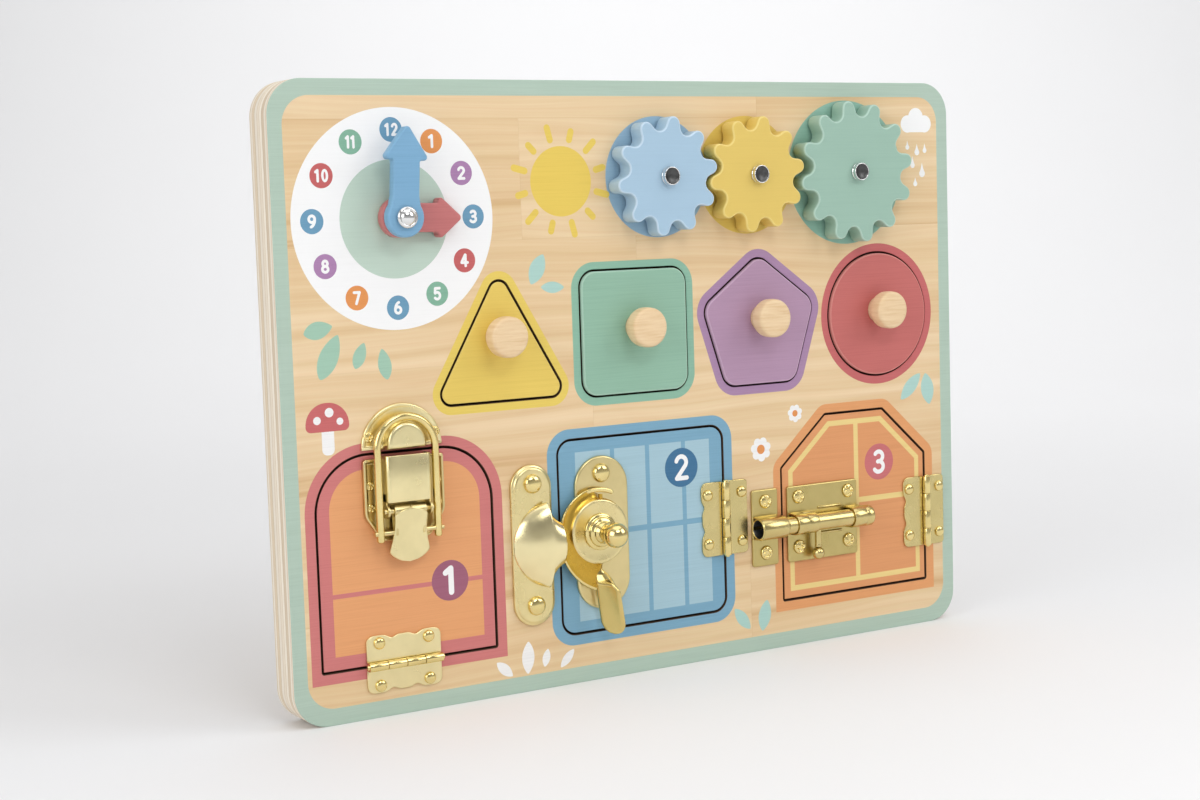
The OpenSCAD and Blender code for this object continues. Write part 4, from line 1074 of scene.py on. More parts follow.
HINGES = {1: (13.2, 14.5, True, True, "door_one", 9.7, 10.7), 2: (14.5, 14.5, False, True, "door_two", 10.7, 10.7), 3: (13.2, 15.5, False, True, "door_three", 9.7, 11.7)}
for k, (rf, rd, wf, wd, body, sf, sd) in HINGES.items():
    c, tr = hinge_frame(k)
    for side, reach, wavy, nm, bd, odd in ((1, rf, wf, "frame_leaf", "board", 0), (-1, rd, wd, "door_leaf", body, 1)):
        B = Build("hinge_%d_%s_pressed" % (k, nm))
        sx = sf if side > 0 else sd
        hl = [tr(side * sx, -12.9), tr(side * sx, 12.9)]
        # the first hinge's leaves wear the paler latch brass, a painted highlight
        dish(B, grown(put(leaf_outline(reach, wavy, side), tr)), [(0.25, 0.02), (0, 0.3), (0, 0.75), (0.12, 0.98), (0.4, 1.12)], "brass_l" if k == 1 else "brass_h", holes=[(x, z, 1.15) for x, z in hl])
        for i in range(4):
            if i % 2 == odd:
                v0, v1 = -19.5 + 9.75 * i + 0.16, -19.5 + 9.75 * (i + 1) - 0.16
                # rolled knuckle round the pin
                sec = [(side * a, h) for a, h in [(2.6, 0.05), (2.6, 1.1)]]
                n = 22
                outer = [(2.2 * cos(t) * side, 2.4 + 2.2 * sin(t)) for t in [math.radians(-50 + 320 * j / n - 0) for j in range(n + 1)]]
                prof = [(2.2 * cos(math.radians(q)), 2.4 + 2.2 * sin(math.radians(q))) for q in range(0, 360, 12)]
                ar = sum(prof[j - 1][0] * prof[j][1] - prof[j][0] * prof[j - 1][1] for j in range(len(prof)))
                if ar < 0:
                    prof = prof[::-1]

                def at(a, b, t, tr=tr):
                    x, z = tr(a, t)
                    return x, b, z
                prism(B, prof, at, v0, v1, "brass_b", 0.16)
        B.make(bd, ["hinge_%d_%s" % (k, nm)])
    B = Build("hinge_%d_pin_rounded" % k)
    p0, p1 = tr(0, -20.3), tr(0, 20.3)
    path, rr = rod_path((p0[0], 2.4, p0[1]), (p1[0], 2.4, p1[1]), 1.25, 0.4)
    sweep_tube(B, path, rr, "brass_b")
    B.make(body if False else "board", ["hinge_%d_pin" % k])

HZ = 12.9
h1p, h2p, h3p = (-143.8, 25.3), (43.3, 74.0), (179.3, 63.6)
SCREWS = {
    "hinge_screws_frame": ("board", [(h1p[0] + s * HZ, h1p[1] - 9.7) for s in (-1, 1)] + [(h2p[0] + 10.7, h2p[1] + s * HZ) for s in (-1, 1)] + [(h3p[0] + 9.7, h3p[1] + s * HZ) for s in (-1, 1)], 2.95, 1.1, 1.9, 1.1),
    "hinge_screws_door_1": ("door_one", [(h1p[0] + s * HZ, h1p[1] + 10.7) for s in (-1, 1)], 2.95, 1.1, 1.9, 1.1),
    "hinge_screws_door_2": ("door_two", [(h2p[0] - 10.7, h2p[1] + s * HZ) for s in (-1, 1)], 2.95, 1.1, 1.9, 1.1),
    "hinge_screws_door_3": ("door_three", [(h3p[0] - 11.7, h3p[1] + s * HZ) for s in (-1, 1)], 2.95, 1.1, 1.9, 1.1),
    "sash_keeper_screws": ("board", [(-72.2, 103.7), (-72.2, 43.1)], 4.8, 3.0, 3.0, 1.8),
    "sash_base_screws": ("door_two", [(-32.1, 105.2), (-32.1, 44.8)], 4.8, 1.8, 3.0, 1.8),
}
for nm, (bd, pts, r, h0, t, sh) in SCREWS.items():
    B = Build(nm + "_domed")
    for c in pts:
        dome(B, c, r, h0, t, "brass_b", sh, 4.9)
    B.make(bd, [nm])


def cross_dome(B, c, r, h0, t, mat, deep, shank=1.1, arm=0.6, half=0.16, rot=20.0):
    """Domed screw head with a cross recess pressed into it."""
    n, m = 48, 11
    rings = [B.add([P(c[0], -deep, c[1])]), B.add([P(c[0] + shank * cos(2 * pi * k / n), -deep, c[1] + shank * sin(2 * pi * k / n)) for k in range(n)]),
             B.add([P(c[0] + shank * cos(2 * pi * k / n), h0, c[1] + shank * sin(2 * pi * k / n)) for k in range(n)])]
    for j in range(m + 1):
        q = 1 - j / (m + 0.6)
        pts = []
        for k in range(n):
            a = 2 * pi * k / n
            x, z = r * q * cos(a), r * q * sin(a)
            hh = h0 + (t * (0.18 + 0.82 * math.sqrt(max(0.0, 1 - q * q))) if j else 0.0)
            w = math.radians(rot)
            lx_, lz_ = x * cos(w) + z * sin(w), -x * sin(w) + z * cos(w)
            d = min(max(abs(lx_) / r - half, 0) + max(abs(lz_) / r - arm, 0), max(abs(lz_) / r - half, 0) + max(abs(lx_) / r - arm, 0))
            hh -= t * 0.55 * max(0.0, 1 - d / 0.10) if j > 1 else 0
            pts.append(P(c[0] + x, hh, c[1] + z))
        rings.append(B.add(pts))
    rings.append(B.add([P(c[0], h0 + t * 0.45, c[1])]))
    for k in range(len(rings) - 1):
        a, b = rings[k], rings[k + 1]
        for i in range(n):
            j = (i + 1) % n
            if len(a) == 1:
                B.face((a[0], b[j], b[i]), mat)
            elif len(b) == 1:
                B.face((a[i], a[j], b[0]), mat)
            else:
                B.face((a[i], a[j], b[j], b[i]), mat)


LX = -140.6
for nm, bd, pts, r, h0, t, sh in (("latch_catch_screws", "board", [(LX - 17.2, 134), (LX + 17.2, 134)], 2.6, 1.4, 1.3, 1.1),
                                  ("latch_base_screws", "door_one", [(LX - 17.5, 111), (LX + 17.5, 111), (LX - 17.5, 100.5), (LX + 17.5, 100.5)], 2.2, 1.3, 1.2, 1.1),
                                  ("bolt_keeper_screws", "board", [(69, 80.1), (69, 52.7)], 3.85, 1.5, 1.95, 1.4),
                                  ("bolt_plate_screws", "door_three", [(90.8, 80.4), (124.2, 80.4), (90.8, 53.4), (124.2, 53.4)], 3.85, 1.5, 1.95, 1.4)):
    B = Build(nm + "_crossed")
    for i, c in enumerate(pts):
        cross_dome(B, c, r, h0, t, "brass_b", 5.0, sh, rot=20 + 37 * i)
    B.make(bd, [nm])

# toggle latch on door 1
B = Build("latch_catch_pressed")
half = [(LX - 21, 127.8)] + [(LX + 21, 127.8)] + arc(LX, 127.8, 21, 0, 180, 60)[1:-1]
dish(B, grown(half), [(0.3, 0.02), (0, 0.3), (0, 1.0), (0.25, 1.5), (0.8, 1.75), (1.5, 1.6), (2.0, 1.4)], "brass_l", holes=[(LX - 17.2, 134, 1.15), (LX + 17.2, 134, 1.15)])
boss = [(LX - 10, 127.8), (LX + 10, 127.8), (LX + 10, 130.4)] + arc(LX, 130.4, 10, 0, 180, 40)[1:-1] + [(LX - 10, 130.4)]
dish(B, grown(boss), [(-0.5, 1.3), (-0.15, 1.7), (0, 2.3), (0, 5.6), (0.35, 6.5), (0.9, 7.15), (1.6, 7.42), (2.3, 7.5)], "brass_l")
B.make("board", ["latch_catch_plate"])

B = Build("latch_base_pressed")
base = fillet([(LX - 20.9, 96.5), (LX - 12.5, 84.2), (LX + 12.5, 84.2), (LX + 20.9, 96.5), (LX + 20.9, 123.6), (LX - 20.9, 123.6)], [7, 6, 6, 7, 1.6, 1.6], 0, 12)
dish(B, grown(base), [(0.3, 0.02), (0, 0.3), (0, 1.9), (0.25, 2.4), (0.8, 2.6), (1.4, 2.35), (1.9, 1.6), (2.4, 1.3)], "brass_s", holes=[(x, z, 1.15) for x, z in ((LX - 17.5, 111), (LX + 17.5, 111), (LX - 17.5, 100.5), (LX + 17.5, 100.5))])
sec = [(-11.7, 1.2), (-10.5, 1.2), (-10.5, 6.2)] + [(-9.4 + 1.1 * cos(math.radians(a)), 6.2 + 1.1 * sin(math.radians(a))) for a in (150, 120, 90)] + [(9.4 + 1.1 * cos(math.radians(a)), 6.2 + 1.1 * sin(math.radians(a))) for a in (90, 60, 30)]
sec += [(10.5, 6.2), (10.5, 1.2), (11.7, 1.2)] + [(9.2 + 2.5 * cos(math.radians(a)), 6.0 + 2.5 * sin(math.radians(a))) for a in range(0, 91, 10)] + [(-9.2 + 2.5 * cos(math.radians(a)), 6.0 + 2.5 * sin(math.radians(a))) for a in range(90, 181, 10)]
prism(B, sec, lambda a, b, t: (LX + a, b, t), 102.9, 125.0, "brass_l", 0.35)
ear = [(1.2, 95.5), (6.3, 95.5)] + [(5.6 + 2.9 * cos(math.radians(a)), 98.6 + 2.9 * sin(math.radians(a))) for a in range(-70, 81, 15)] + [(6.3, 107.0), (1.2, 107.0)]
for s_ in (-11.7, 10.5):
    prism(B, ear, lambda a, b, t: (LX + t, a, b), s_, s_ + 1.2, "brass_s", 0.15)
B.make("door_one", ["latch_base"])

B = Build("latch_pivot_pin_round")
path, rr = rod_path((LX - 12.9, 5.6, 98.6), (LX + 12.9, 5.6, 98.6), 1.35, 0.3)
sweep_tube(B, path, rr, "brass_s")
B.make("door_one", ["latch_pivot_pin"])

B = Build("latch_lever_pressed")
path, rr = rod_path((LX - 8.3, 5.8, 98.6), (LX + 8.3, 5.8, 98.6), 2.9, 0.4)
sweep_tube(B, path, rr, "brass_s", 28)
rows = []
NT = 40
for i in range(NT + 1):
    t = -2.6 + 28.0 * (i / NT) ** 0.96
    if t < 19.5:
        u = max(0.0, t / 19.5)
        w = 8.6 - 0.45 * sin(pi * min(1, u * 1.1)) ** 1.3 + 1.75 * u ** 2.8
    else:
        w = 10.35
    w = min(w, math.sqrt(max(0.0, 13.2 ** 2 - (t - 12.2) ** 2)))
    hc = (9.35 - 0.172 * t if t > 0 else 5.6 + math.sqrt(max(0.0, 3.75 ** 2 - t * t))) - 0.35 * sin(pi * max(0.0, min(1.0, t / 25.4)))
    rows.append((98.9 - t * 0.985, hc, max(w, 0.05)))
us = [-1, -0.985, -0.94, -0.8, -0.4, 0, 0.4, 0.8, 0.94, 0.985, 1]
drop_e = [0.55, 0.22, 0.06, 0, 0, 0, 0, 0, 0.06, 0.22, 0.55]
top, bot = [], []
for z, h, w in rows:
    top.append(B.add([P(LX + u * w, h - d, z) for u, d in zip(us, drop_e)]))
    bot.append(B.add([P(LX + u * w, h - 1.25 + (0.15 if abs(u) == 1 else 0), z) for u in us]))
# the lever's faces wear the paler latch brass, a painted highlight; its narrow sides plain pearl brass
for i in range(NT):
    for j in range(len(us) - 1):
        B.face((top[i][j], top[i + 1][j], top[i + 1][j + 1], top[i][j + 1]), "brass_l")
        B.face((bot[i][j], bot[i][j + 1], bot[i + 1][j + 1], bot[i + 1][j]), "brass_l")
    for j, q in ((0, 0), (len(us) - 1, 1)):
        f = (top[i][j], bot[i][j], bot[i + 1][j], top[i + 1][j])
        B.face(f[::-1] if q else f, "brass_s")
tab = [(2.9, 98.6), (3.2, 89.5)] + [(5.6 + 1.9 * cos(math.radians(a)), 88.5 + 1.9 * sin(math.radians(a))) for a in range(190, 351, 16)] + [(7.6, 91), (8.4, 98.6)]
for s_ in (-7.6, 6.4):
    prism(B, tab, lambda a, b, t: (LX + t, a, b), s_, s_ + 1.2, "brass_s", 0.15)
B.make("lever", ["latch_lever"])
B = Build("latch_bail_pin_round")
path, rr = rod_path((LX - 18.0, 5.6, 88.5), (LX + 18.0, 5.6, 88.5), 1.2, 0.35)
sweep_tube(B, path, rr, "brass_s")
B.make("lever", ["latch_bail_pin"])
B = Build("latch_bail_wire")
path = [(LX - 15, 5.6, 84.3), (LX - 15, 5.6, 84.6), (LX - 15, 5.6, 85.2)] + [(LX - 15, 5.6, 86 + 41.9 * i / 10) for i in range(10)]
path += [(LX + 15 * cos(t), 5.6, 127.9 + 15 * sin(t)) for t in [pi - pi * i / 40 for i in range(41)]]
path += [(LX + 15, 5.6, 127.9 - 41.9 * i / 10) for i in range(1, 11)] + [(LX + 15, 5.6, 85.2), (LX + 15, 5.6, 84.6), (LX + 15, 5.6, 84.3)]
rr = [1.1, 1.6, 1.85] + [1.85] * (len(path) - 6) + [1.85, 1.6, 1.1]
sweep_tube(B, path, rr, "brass_b", 24)
B.make("bail", ["latch_bail"])

# crescent sash lock on door 2
B = Build("sash_keeper_cast")
SK = (-72.2, 73.0)
stf = lambda g: stadium(SK[0], SK[1], 11.4, 40.0, g, 32)
dish(B, stf, [(0.3, 0.02), (0, 0.3), (0, 1.1), (0.2, 1.6), (0.7, 1.85), (1.15, 1.95), (1.35, 2.4), (1.75, 2.85), (2.5, 3.0)], "brass", holes=[(SK[0], 103.7, 1.85), (SK[0], 43.1, 1.85)])
NX, NZ = 44, 30


def hood_pt(u, v, inner=0.0):
    x = -83.4 + inner + u * (24.2 - inner)
    zc = math.sqrt(max(0.0, 21.6 ** 2 - (x + 62.0) ** 2))
    if x > -65.5:
        zc = min(zc, 22.0 - math.sqrt(max(0.0, 12.8 ** 2 - (x + 52.8) ** 2)) + 0.0)
    zc = max(0.0, zc - inner)
    H = max(3.0, -20.0 + math.sqrt(32.5 ** 2 - (x + 60.5) ** 2) - inner)
    s_ = sin(v * pi / 2)
    q = max(0.0, min(1.0, (x + 75.0) / 13.0))
    hb = 2.6 + 3.5 * q * q * (3 - 2 * q)
    return x, hb + (H - hb) * max(0.0, cos(v * pi / 2)) ** 1.15, 73.0 + zc * s_


uu = [1 - (1 - i / NX) ** 1.0 for i in range(NX + 1)]
og = [B.add([P(*hood_pt(u, -1 + 2 * j / NZ)) for j in range(NZ + 1)]) for u in uu]
ig = [B.add([P(*hood_pt(u, -1 + 2 * j / NZ, 1.3)) for j in range(NZ + 1)]) for u in uu]
# the outside of the nose wears the pale nose brass, a painted highlight
for i in range(NX):
    for j in range(NZ):
        B.face((og[i][j], og[i + 1][j], og[i + 1][j + 1], og[i][j + 1]), "brass_nose_painted_highlight")
        B.face((ig[i][j], ig[i][j + 1], ig[i + 1][j + 1], ig[i + 1][j]), "brass")
for i in range(NX):
    B.face((og[i][0], ig[i][0], ig[i + 1][0], og[i + 1][0]), "brass_b")
    B.face((og[i][NZ], og[i + 1][NZ], ig[i + 1][NZ], ig[i][NZ]), "brass_b")
# rolled lip round the mouth of the nose
lip = []
for k in range(7):
    a = pi * k / 6
    lip.append(B.add([P(x + 0.75 * sin(a), h + 0.10 * sin(a), z) for x, h, z in
                      [tuple(p_ * (1 - k / 6) + q_ * (k / 6) for p_, q_ in zip(hood_pt(1, -1 + 2 * j / NZ), hood_pt(1, -1 + 2 * j / NZ, 1.3))) for j in range(NZ + 1)]]))
for k in range(6):
    for j in range(NZ):
        B.face((lip[k][j], lip[k + 1][j], lip[k + 1][j + 1], lip[k][j + 1]), "brass_b")
B.make("board", ["sash_keeper"])

B = Build("sash_base_pressed")
SB = (-31.8, 75.0)
CAM = (-36.5, 76.5)
dish(B, lambda g: stadium(SB[0], SB[1], 15.4, 38.8, g, 36), [(0.3, 0.02), (0, 0.3), (0, 1.0), (0.25, 1.5), (0.7, 1.75), (1.2, 1.82)], "brass_s", holes=[(SB[0] - 0.3, 105.2, 1.85), (SB[0] - 0.3, 44.8, 1.85), (CAM[0], CAM[1], 2.62)])
B.make("door_two", ["sash_base"])
lathe("sash_pivot_pin", "door_two", ["sash_pivot"], CAM, [(0, -5.4), (2.4, -5.4), (2.6, -5.2), (2.6, 8.9), (0, 8.9)], "brass_b", 32)

B = Build("sash_cam_cast")


def cam_r(deg):
    t = deg % 360
    if t < 88 or t > 277:
        return 16.7
    if t < 100:
        q = (t - 88) / 12
        return 16.7 + 5.2 * q * q * (3 - 2 * q)
    if t < 170:
        return 21.9
    if t < 268:
        q = (t - 170) / 98
        return 21.9 + 8.4 * q ** 1.9
    q = (277 - t) / 9
    return 16.7 + 13.6 * q * q * (3 - 2 * q)


N = 240
levels = [("r", 2.62, 3.6), ("k", 0.97, 3.6), ("k", 1.0, 3.8), ("k", 1.0, 4.5), ("k", 0.97, 4.85), ("k", 0.90, 4.95), ("k", 0.80, 4.80), ("k", 0.62, 4.75), ("k", 0.42, 4.95), ("k", 0.22, 5.45), ("k", 0.07, 6.15),
          ("k", 0.0, 6.6), ("r", 15.75, 6.98), ("r", 15.2, 7.12), ("r", 14.3, 7.05), ("r", 12.0, 6.8), ("r", 9.0, 6.7), ("r", 2.62, 6.7)]
rings = []
for kind, v, h in levels:
    pts = []
    for i in range(N):
        t = 360 * i / N
        R = cam_r(t)
        r = v if kind == "r" else 16.15 + (R - 16.15) * v
        hh = h
        pts.append(P(CAM[0] + r * cos(math.radians(t)), hh, CAM[1] + r * sin(math.radians(t))))
    rings.append(B.add(pts))
# the concave wall of the cam's dish wears the dark deep brass, painted shade
for k in range(len(rings) - 1):
    B.bridge(rings[k], rings[k + 1], "brass_b" if 2 <= k <= 4 else ("brass_dish_painted_shade" if 5 <= k <= 10 else "brass"))
B.bridge(rings[-1], rings[0], "brass")
# free hook at the upper end
hk = [(CAM[0] + 20.85 * cos(math.radians(a)), CAM[1] + 20.85 * sin(math.radians(a))) for a in range(104, 62, -3)]
dish(B, grown(stroke(hk, 2.1)), [(0.3, 3.62), (0, 3.85), (0, 4.6), (0.15, 4.9), (0.5, 5.05)], "brass_b")
# small clip under the hook, in the dark deep brass: painted shade under the hook
prism(B, [(-0.9, 0), (0.9, 0), (0.9, 2.6), (-0.9, 2.6)], lambda a, b, t: (CAM[0] + 2.1 + a, t, CAM[1] + 15.9 + b), 3.6, 5.2, "brass_dish_painted_shade", 0.2)
# twisted thumb tab standing out from the door
loops = []
for i in range(57):
    q = i / 56
    z = 61.5 - 37.2 * q
    if z > 46.5:
        w = 1.5 + 5.5 * max(0.0, min(1.0, (57.5 - z) / 10.5)) ** 0.85
    else:
        w = 7.0
    if z < 31.3:
        w = math.sqrt(max(0.0025, 7.0 ** 2 - (31.3 - z) ** 2))
    tw = max(0.0, min(1.0, (60.5 - z) / 11.0))
    al = math.radians(8 + 54 * tw * tw * (3 - 2 * tw))
    mid = 7.0 if z < 46.5 else w
    ex, eh = -38.6 + 0.14 * max(0.0, 49.0 - z), 4.1
    cx, ch = ex + mid * cos(al), eh + mid * sin(al)
    th = 0.85
    pts = []
    for k in range(20):
        a = 2 * pi * k / 20
        ca, sa = cos(a), sin(a)
        pu = math.copysign(abs(ca) ** 0.35, ca) * w if abs(ca) > 1e-9 else 0.0
        pn = math.copysign(abs(sa) ** 0.55, sa) * th * (1 if w > 1.2 else w / 1.2)
        bow = -0.5 * (1 - (pu / 7.0) ** 2)
        pts.append(P(cx + pu * cos(al) - (pn + bow) * sin(al), ch + pu * sin(al) + (pn + bow) * cos(al), z))
    loops.append(B.add(pts))
for k in range(len(loops) - 1):
    for i in range(20):
        j = (i + 1) % 20
        B.face((loops[k + 1][i], loops[k + 1][j], loops[k][j], loops[k][i]), "brass_p")
B.face(loops[-1][::-1], "brass_p", False)
B.face(loops[0], "brass_p", False)
B.make("cam", ["sash_cam"])

lathe("sash_knob_turned", "cam", ["sash_knob"], CAM,
      [(2.62, 6.9), (8.9, 6.9), (9.2, 7.1), (9.2, 7.6), (8.9, 7.95), (8.1, 8.1), (7.6, 8.2), (7.4, 8.6), (7.3, 9.3), (6.9, 9.7), (6.0, 9.9), (5.5, 10.2), (5.3, 10.9), (4.9, 11.5), (4.1, 12.2), (3.7, 13.3), (3.7, 15.6), (4.0, 16.0)]
      + [(6.3 * cos(math.radians(a)), 21.7 + 6.3 * sin(math.radians(a))) for a in range(-58, 86, 6)] + [(0, 28.0)], "brass_b", 56)

# barrel bolt on door 3
AX, AZ = 6.2, 66.4


def strap_section(ro, ri, foot=0.1, n=22):
    """Arch round the bolt axis: points (z offset, height)."""
    a0 = math.degrees(math.asin(max(-1.0, min(1.0, (foot - AX) / ro))))
    outer = [(-ro - 0.9, foot), (-ro - 0.25, 1.1)] + [(ro * cos(math.radians(a)), AX + ro * sin(math.radians(a))) for a in [185 - 190 * i / n for i in range(n + 1)]][::1] + [(ro + 0.25, 1.1), (ro + 0.9, foot)]
    inner = [(ri + 0.0, foot)] + [(ri * cos(math.radians(a)), AX + ri * sin(math.radians(a))) for a in [0 + 180 * i / n for i in range(n + 1)]] + [(-ri - 0.0, foot)]
    return (outer + inner)[::-1]


def tube(B, x0, x1, ro, ri, mat, bore, n=44):
    rs = [B.add([P(x, AX + r * sin(2 * pi * k / n), AZ + r * cos(2 * pi * k / n)) for k in range(n)]) for x, r in
          ((x0 + 0.3, ri), (x0, ri + 0.25), (x0, ro - 0.4), (x0 + 0.12, ro - 0.12), (x0 + 0.4, ro), (x1 - 0.4, ro), (x1 - 0.12, ro - 0.12), (x1, ro - 0.4), (x1, ri + 0.2), (x1 - 0.3, ri))]
    for k in range(10):
        B.bridge(rs[k], rs[(k + 1) % 10], bore if k == 9 else mat)


def sector(ro, ri, a0, a1, n=18):
    aa = [a0 + (a1 - a0) * i / n for i in range(n + 1)]
    q = [(ro * cos(math.radians(a)), AX + ro * sin(math.radians(a))) for a in aa] + [(ri * cos(math.radians(a)), AX + ri * sin(math.radians(a))) for a in aa[::-1]]
    return q


B = Build("bolt_keeper_pressed")
kp = rrect(60.4, 77.3, 45.6, 86.6, 1.5, 0, 6)
# the keeper plate wears the darker plate brass, painted shade
dish(B, grown(kp), [(0.3, 0.02), (0, 0.3), (0, 0.9), (0.25, 1.35), (0.7, 1.5)], "brass_painted_shade", holes=[(69, 80.1, 1.45), (69, 52.7, 1.45)])
prism(B, strap_section(5.95, 5.2), lambda a, b, t: (t, b, AZ + a), 60.9, 77.2, "brass_r", 0.3)
# the bore of the keeper's tube wears dark steel: painted shade inside the tube
tube(B, 60.5, 77.3, 5.6, 4.8, "brass_b", "steel_and_bore_shade")
B.make("board", ["bolt_keeper"])
B = Build("bolt_plate_pressed")
kp = rrect(83.6, 130.5, 45.4, 86.4, 1.5, 0, 6)
# the bolt plate wears the darker plate brass, painted shade
dish(B, grown(kp), [(0.3, 0.02), (0, 0.3), (0, 0.9), (0.25, 1.35), (0.7, 1.5)], "brass_painted_shade", holes=[(x, z, 1.45) for x, z in ((90.8, 80.4), (124.2, 80.4), (90.8, 53.4), (124.2, 53.4))])
at_ = lambda a, b, t: (t, b, AZ + a)
prism(B, strap_section(5.6, 4.68), at_, 84.0, 91.5, "brass_r", 0.3)
prism(B, sector(5.6, 4.68, 0, 153), at_, 91.0, 97.6, "brass_r", 0.25)
prism(B, [(4.68, 0.1), (6.5, 0.1), (5.85, 1.1), (5.6, AX + 0.1), (4.68, AX + 0.1)], at_, 91.0, 97.6, "brass_r", 0.2)
prism(B, [(-6.5, 0.1), (-4.68, 0.1), (-4.6, 3.6), (-5.35, 3.6), (-5.85, 1.1)], at_, 91.0, 97.6, "brass_r", 0.2)
prism(B, strap_section(5.6, 4.68), lambda a, b, t: (t, b, AZ + a), 121.8, 130.4, "brass_r", 0.3)
for x0, x1 in ((130.0, 135.0),):
    n = 40
    ringset = []
    for x, r in ((x0, 4.68), (x0, 5.3), (x0 + 0.3, 5.6), (x1 - 0.4, 5.6), (x1 - 0.1, 5.45), (x1, 5.15), (x1, 4.68)):
        ringset.append(B.add([P(x, AX + r * sin(2 * pi * k / n), AZ + r * cos(2 * pi * k / n)) for k in range(n)]))
    for k in range(len(ringset)):
        B.bridge(ringset[k], ringset[(k + 1) % len(ringset)], "brass_r")
# small pressed ribs beside the bolt
for zz_ in (AZ + 6.9, AZ - 6.9):
    path, rr = rod_path((103.5, 1.5, zz_), (119.5, 1.5, zz_), 0.75, 0.3)
    sweep_tube(B, path, rr, "brass_r", 14)
B.make("door_three", ["bolt_plate"])
B = Build("bolt_bar_turned")
n = 44
ringset = []
for x, r in ((83.5, 0.02), (83.5, 3.5), (78.6, 3.55), (78.35, 3.65), (78.25, 3.95), (78.3, 4.3), (78.6, 4.5), (79.0, 4.55), (126.0, 4.55), (127.6, 4.45), (128.4, 3.9), (128.6, 3.2), (128.6, 0.02)):
    ringset.append(B.add([P(x, AX + r * sin(2 * pi * k / n), AZ + r * cos(2 * pi * k / n)) for k in range(n)]))
# the hollow end of the bolt wears dark steel: painted shade in its bore
for k in range(len(ringset) - 1):
    B.bridge(ringset[k], ringset[k + 1], "steel_and_bore_shade" if k < 2 else "brass_r")
path = [(99.9, AX, AZ - 0.5 - i) for i in range(0, 14)]
sweep_tube(B, path, [1.75] * 12 + [1.8, 2.0], "brass_r", 20)
turn_pts = []
for a in range(-84, 85, 8):
    turn_pts.append((3.35 * cos(math.radians(a)), AZ - 16.9 + 3.35 * sin(math.radians(a))))
rgs = [B.add([P(99.9 + r * cos(2 * pi * k / 28), AX + r * sin(2 * pi * k / 28), z) for k in range(28)]) for r, z in turn_pts]
for k in range(len(rgs) - 1):
    B.bridge(rgs[k + 1], rgs[k], "brass_r")
B.face(rgs[0], "brass_r", True)
B.face(rgs[-1][::-1], "brass_r", True)
B.make("bolt", ["bolt_bar"])

# ------------------------------------------------------------------ carried-over CAD pieces: soft edges and their own finish
nodes = frame["nodes"]
for nm, wd in (("clock_washers", 0.2), ("gear_spacers", 0.2)):
    o = nodes[nm]
    o.data.materials.clear()
    o.data.materials.append(M["washer"])
    bv = o.modifiers.new("soft_edges", "BEVEL")
    bv.width = wd * MM
    bv.segments = 2
    bv.limit_method = "ANGLE"
    bv.angle_limit = math.radians(34)

# ------------------------------------------------------------------ studio
def stage_mesh(name, verts, faces, mat, smooth=False):
    me = bpy.data.meshes.new(name)
    me.from_pydata(verts, [], faces)
    me.materials.append(mat)
    me.polygons.foreach_set("use_smooth", [smooth] * len(faces))
    me.update()
    o = bpy.data.objects.new(name, me)
    bpy.context.scene.collection.objects.link(o)
    return o


def paper(name, rgb):
    m = Mat(name)
    n = m.noise(m.coords((1, 1, 1)), 2.0, 2.0)
    m.set(Base_Color=m.ramp(n, [(0.3, lin(rgb)), (0.7, lin(tuple(min(255, v + 1) for v in rgb)))]), Roughness=0.75, Specular_IOR_Level=0.25)
    return m.m


# seamless sweep: the floor runs back and turns up into a wall
view_dir = Vector((0.5144, 0.8523, 0)).normalized()
side_dir = Vector((view_dir.y, -view_dir.x, 0))
prof = [(-6.0, 0.0), (1.3, 0.0)] + [(1.3 + 1.6 * sin(math.radians(a)), 1.6 - 1.6 * cos(math.radians(a))) for a in range(6, 91, 6)] + [(2.9, 6.0)]
verts, faces = [], []
for d, h in prof:
    for s in (-6.0, 6.0):
        p = view_dir * d + side_dir * s
        verts.append((p.x, p.y, h))
for i in range(len(prof) - 1):
    faces.append((2 * i, 2 * i + 1, 2 * i + 3, 2 * i + 2))
stage_mesh("sweep", verts, faces, paper("studio_paper", (236, 236, 237)), True)

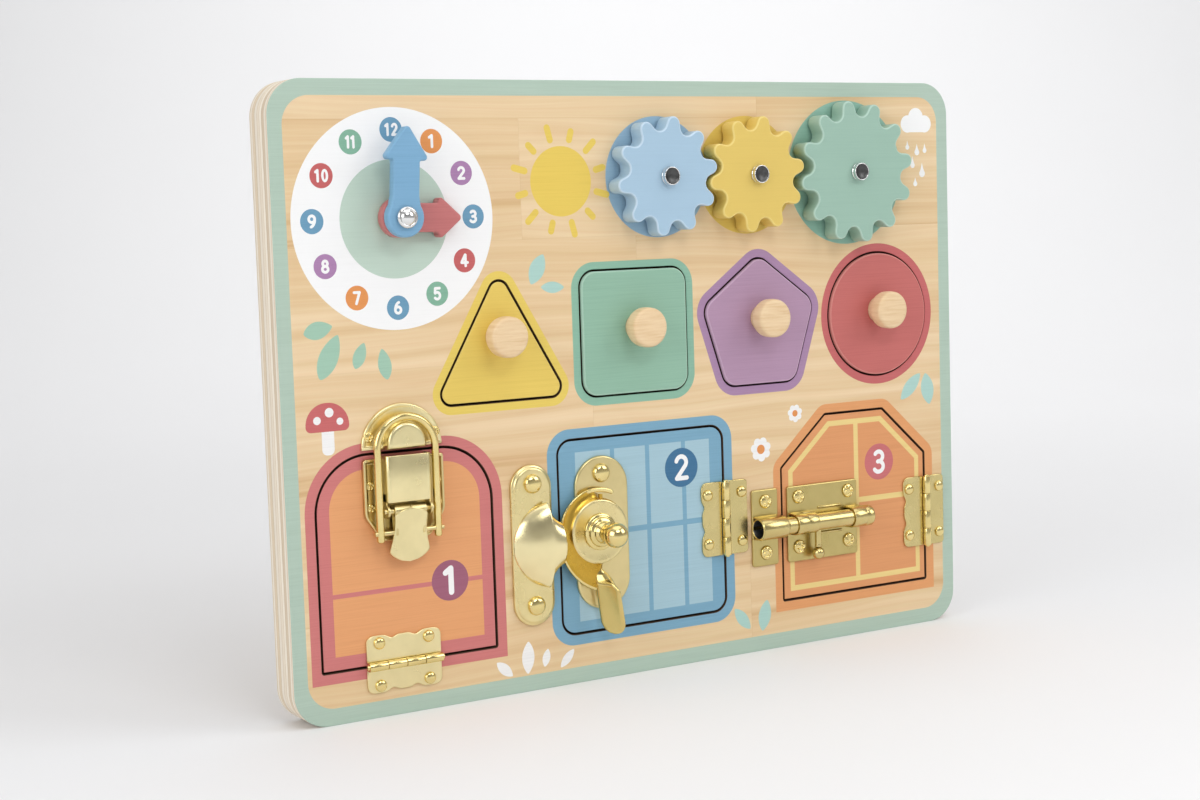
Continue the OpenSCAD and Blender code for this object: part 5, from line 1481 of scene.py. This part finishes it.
world = bpy.data.worlds.new("studio")
bpy.context.scene.world = world
world.use_nodes = True
wt = world.node_tree
bg = wt.nodes["Background"]
tc = wt.nodes.new("ShaderNodeTexCoord")
sp = wt.nodes.new("ShaderNodeSeparateXYZ")
wt.links.new(tc.outputs["Generated"], sp.inputs[0])
rp = wt.nodes.new("ShaderNodeValToRGB")
el = rp.color_ramp.elements
el[0].position, el[0].color = 0.0, (0.52, 0.52, 0.52, 1)
el[1].position, el[1].color = 1.0, (1.0, 1.0, 1.0, 1)
for pos, v in ((0.50, 0.80), (0.60, 0.62), (0.72, 0.34), (0.80, 0.36), (0.90, 0.95)):
    q = el.new(pos)
    q.color = (v, v, v, 1)
mth = wt.nodes.new("ShaderNodeMath")
mth.operation = "MULTIPLY_ADD"
mth.inputs[1].default_value = 0.5
mth.inputs[2].default_value = 0.5
wt.links.new(sp.outputs["Z"], mth.inputs[0])
wt.links.new(mth.outputs[0], rp.inputs["Fac"])
wt.links.new(rp.outputs["Color"], bg.inputs["Color"])
bg.inputs["Strength"].default_value = 0.62


def area(name, loc, target, size, power, size_y=None, color=(1, 1, 1)):
    L = bpy.data.lights.new(name, "AREA")
    L.shape = "RECTANGLE"
    L.size = size
    L.size_y = size_y or size
    L.energy = power
    L.color = color
    o = bpy.data.objects.new(name, L)
    bpy.context.scene.collection.objects.link(o)
    o.location = loc
    o.rotation_euler = (Vector(target) - Vector(loc)).to_track_quat("-Z", "Y").to_euler()
    return o


area("key_right", (1.5, -1.3, 1.3), (0, 0, 0.15), 1.3, 13.4, 1.1)
area("fill_left", (-1.9, -0.7, 0.9), (0, 0, 0.15), 1.4, 14, 1.2)
area("top", (0.1, -0.2, 2.2), (0, 0, 0.0), 2.2, 12.4, 2.0)
area("back_wall", (0.7, 1.1, 1.9), (1.7, 2.3, 0.9), 1.7, 20, 1.4)
area("floor_front", (-0.15, -1.0, 0.95), (-0.15, -0.95, 0.0), 0.6, 4.6, 0.45)

# ------------------------------------------------------------------ camera at the photograph's angle
cam = bpy.data.cameras.new("camera")
cam.sensor_width = 36.0
cam.lens = 58.64
cam.clip_start = 0.05
co = bpy.data.objects.new("camera", cam)
bpy.context.scene.collection.objects.link(co)
fw = Vector((0.51438345, 0.85227184, -0.09509143))
rt = Vector((0.85411312, -0.51908878, -0.03221211))
up = rt.cross(fw)
mw = Matrix((rt, up, -fw)).transposed().to_4x4()
mw.translation = Vector((-533.48257 * MM, (-834.05368 + FACE) * MM, 234.64294 * MM))
co.matrix_world = mw
bpy.context.scene.camera = co

scn = bpy.context.scene
scn.view_settings.view_transform = "Standard"
scn.view_settings.look = "None"
scn.view_settings.exposure = 0.0
scn.view_settings.gamma = 1.0
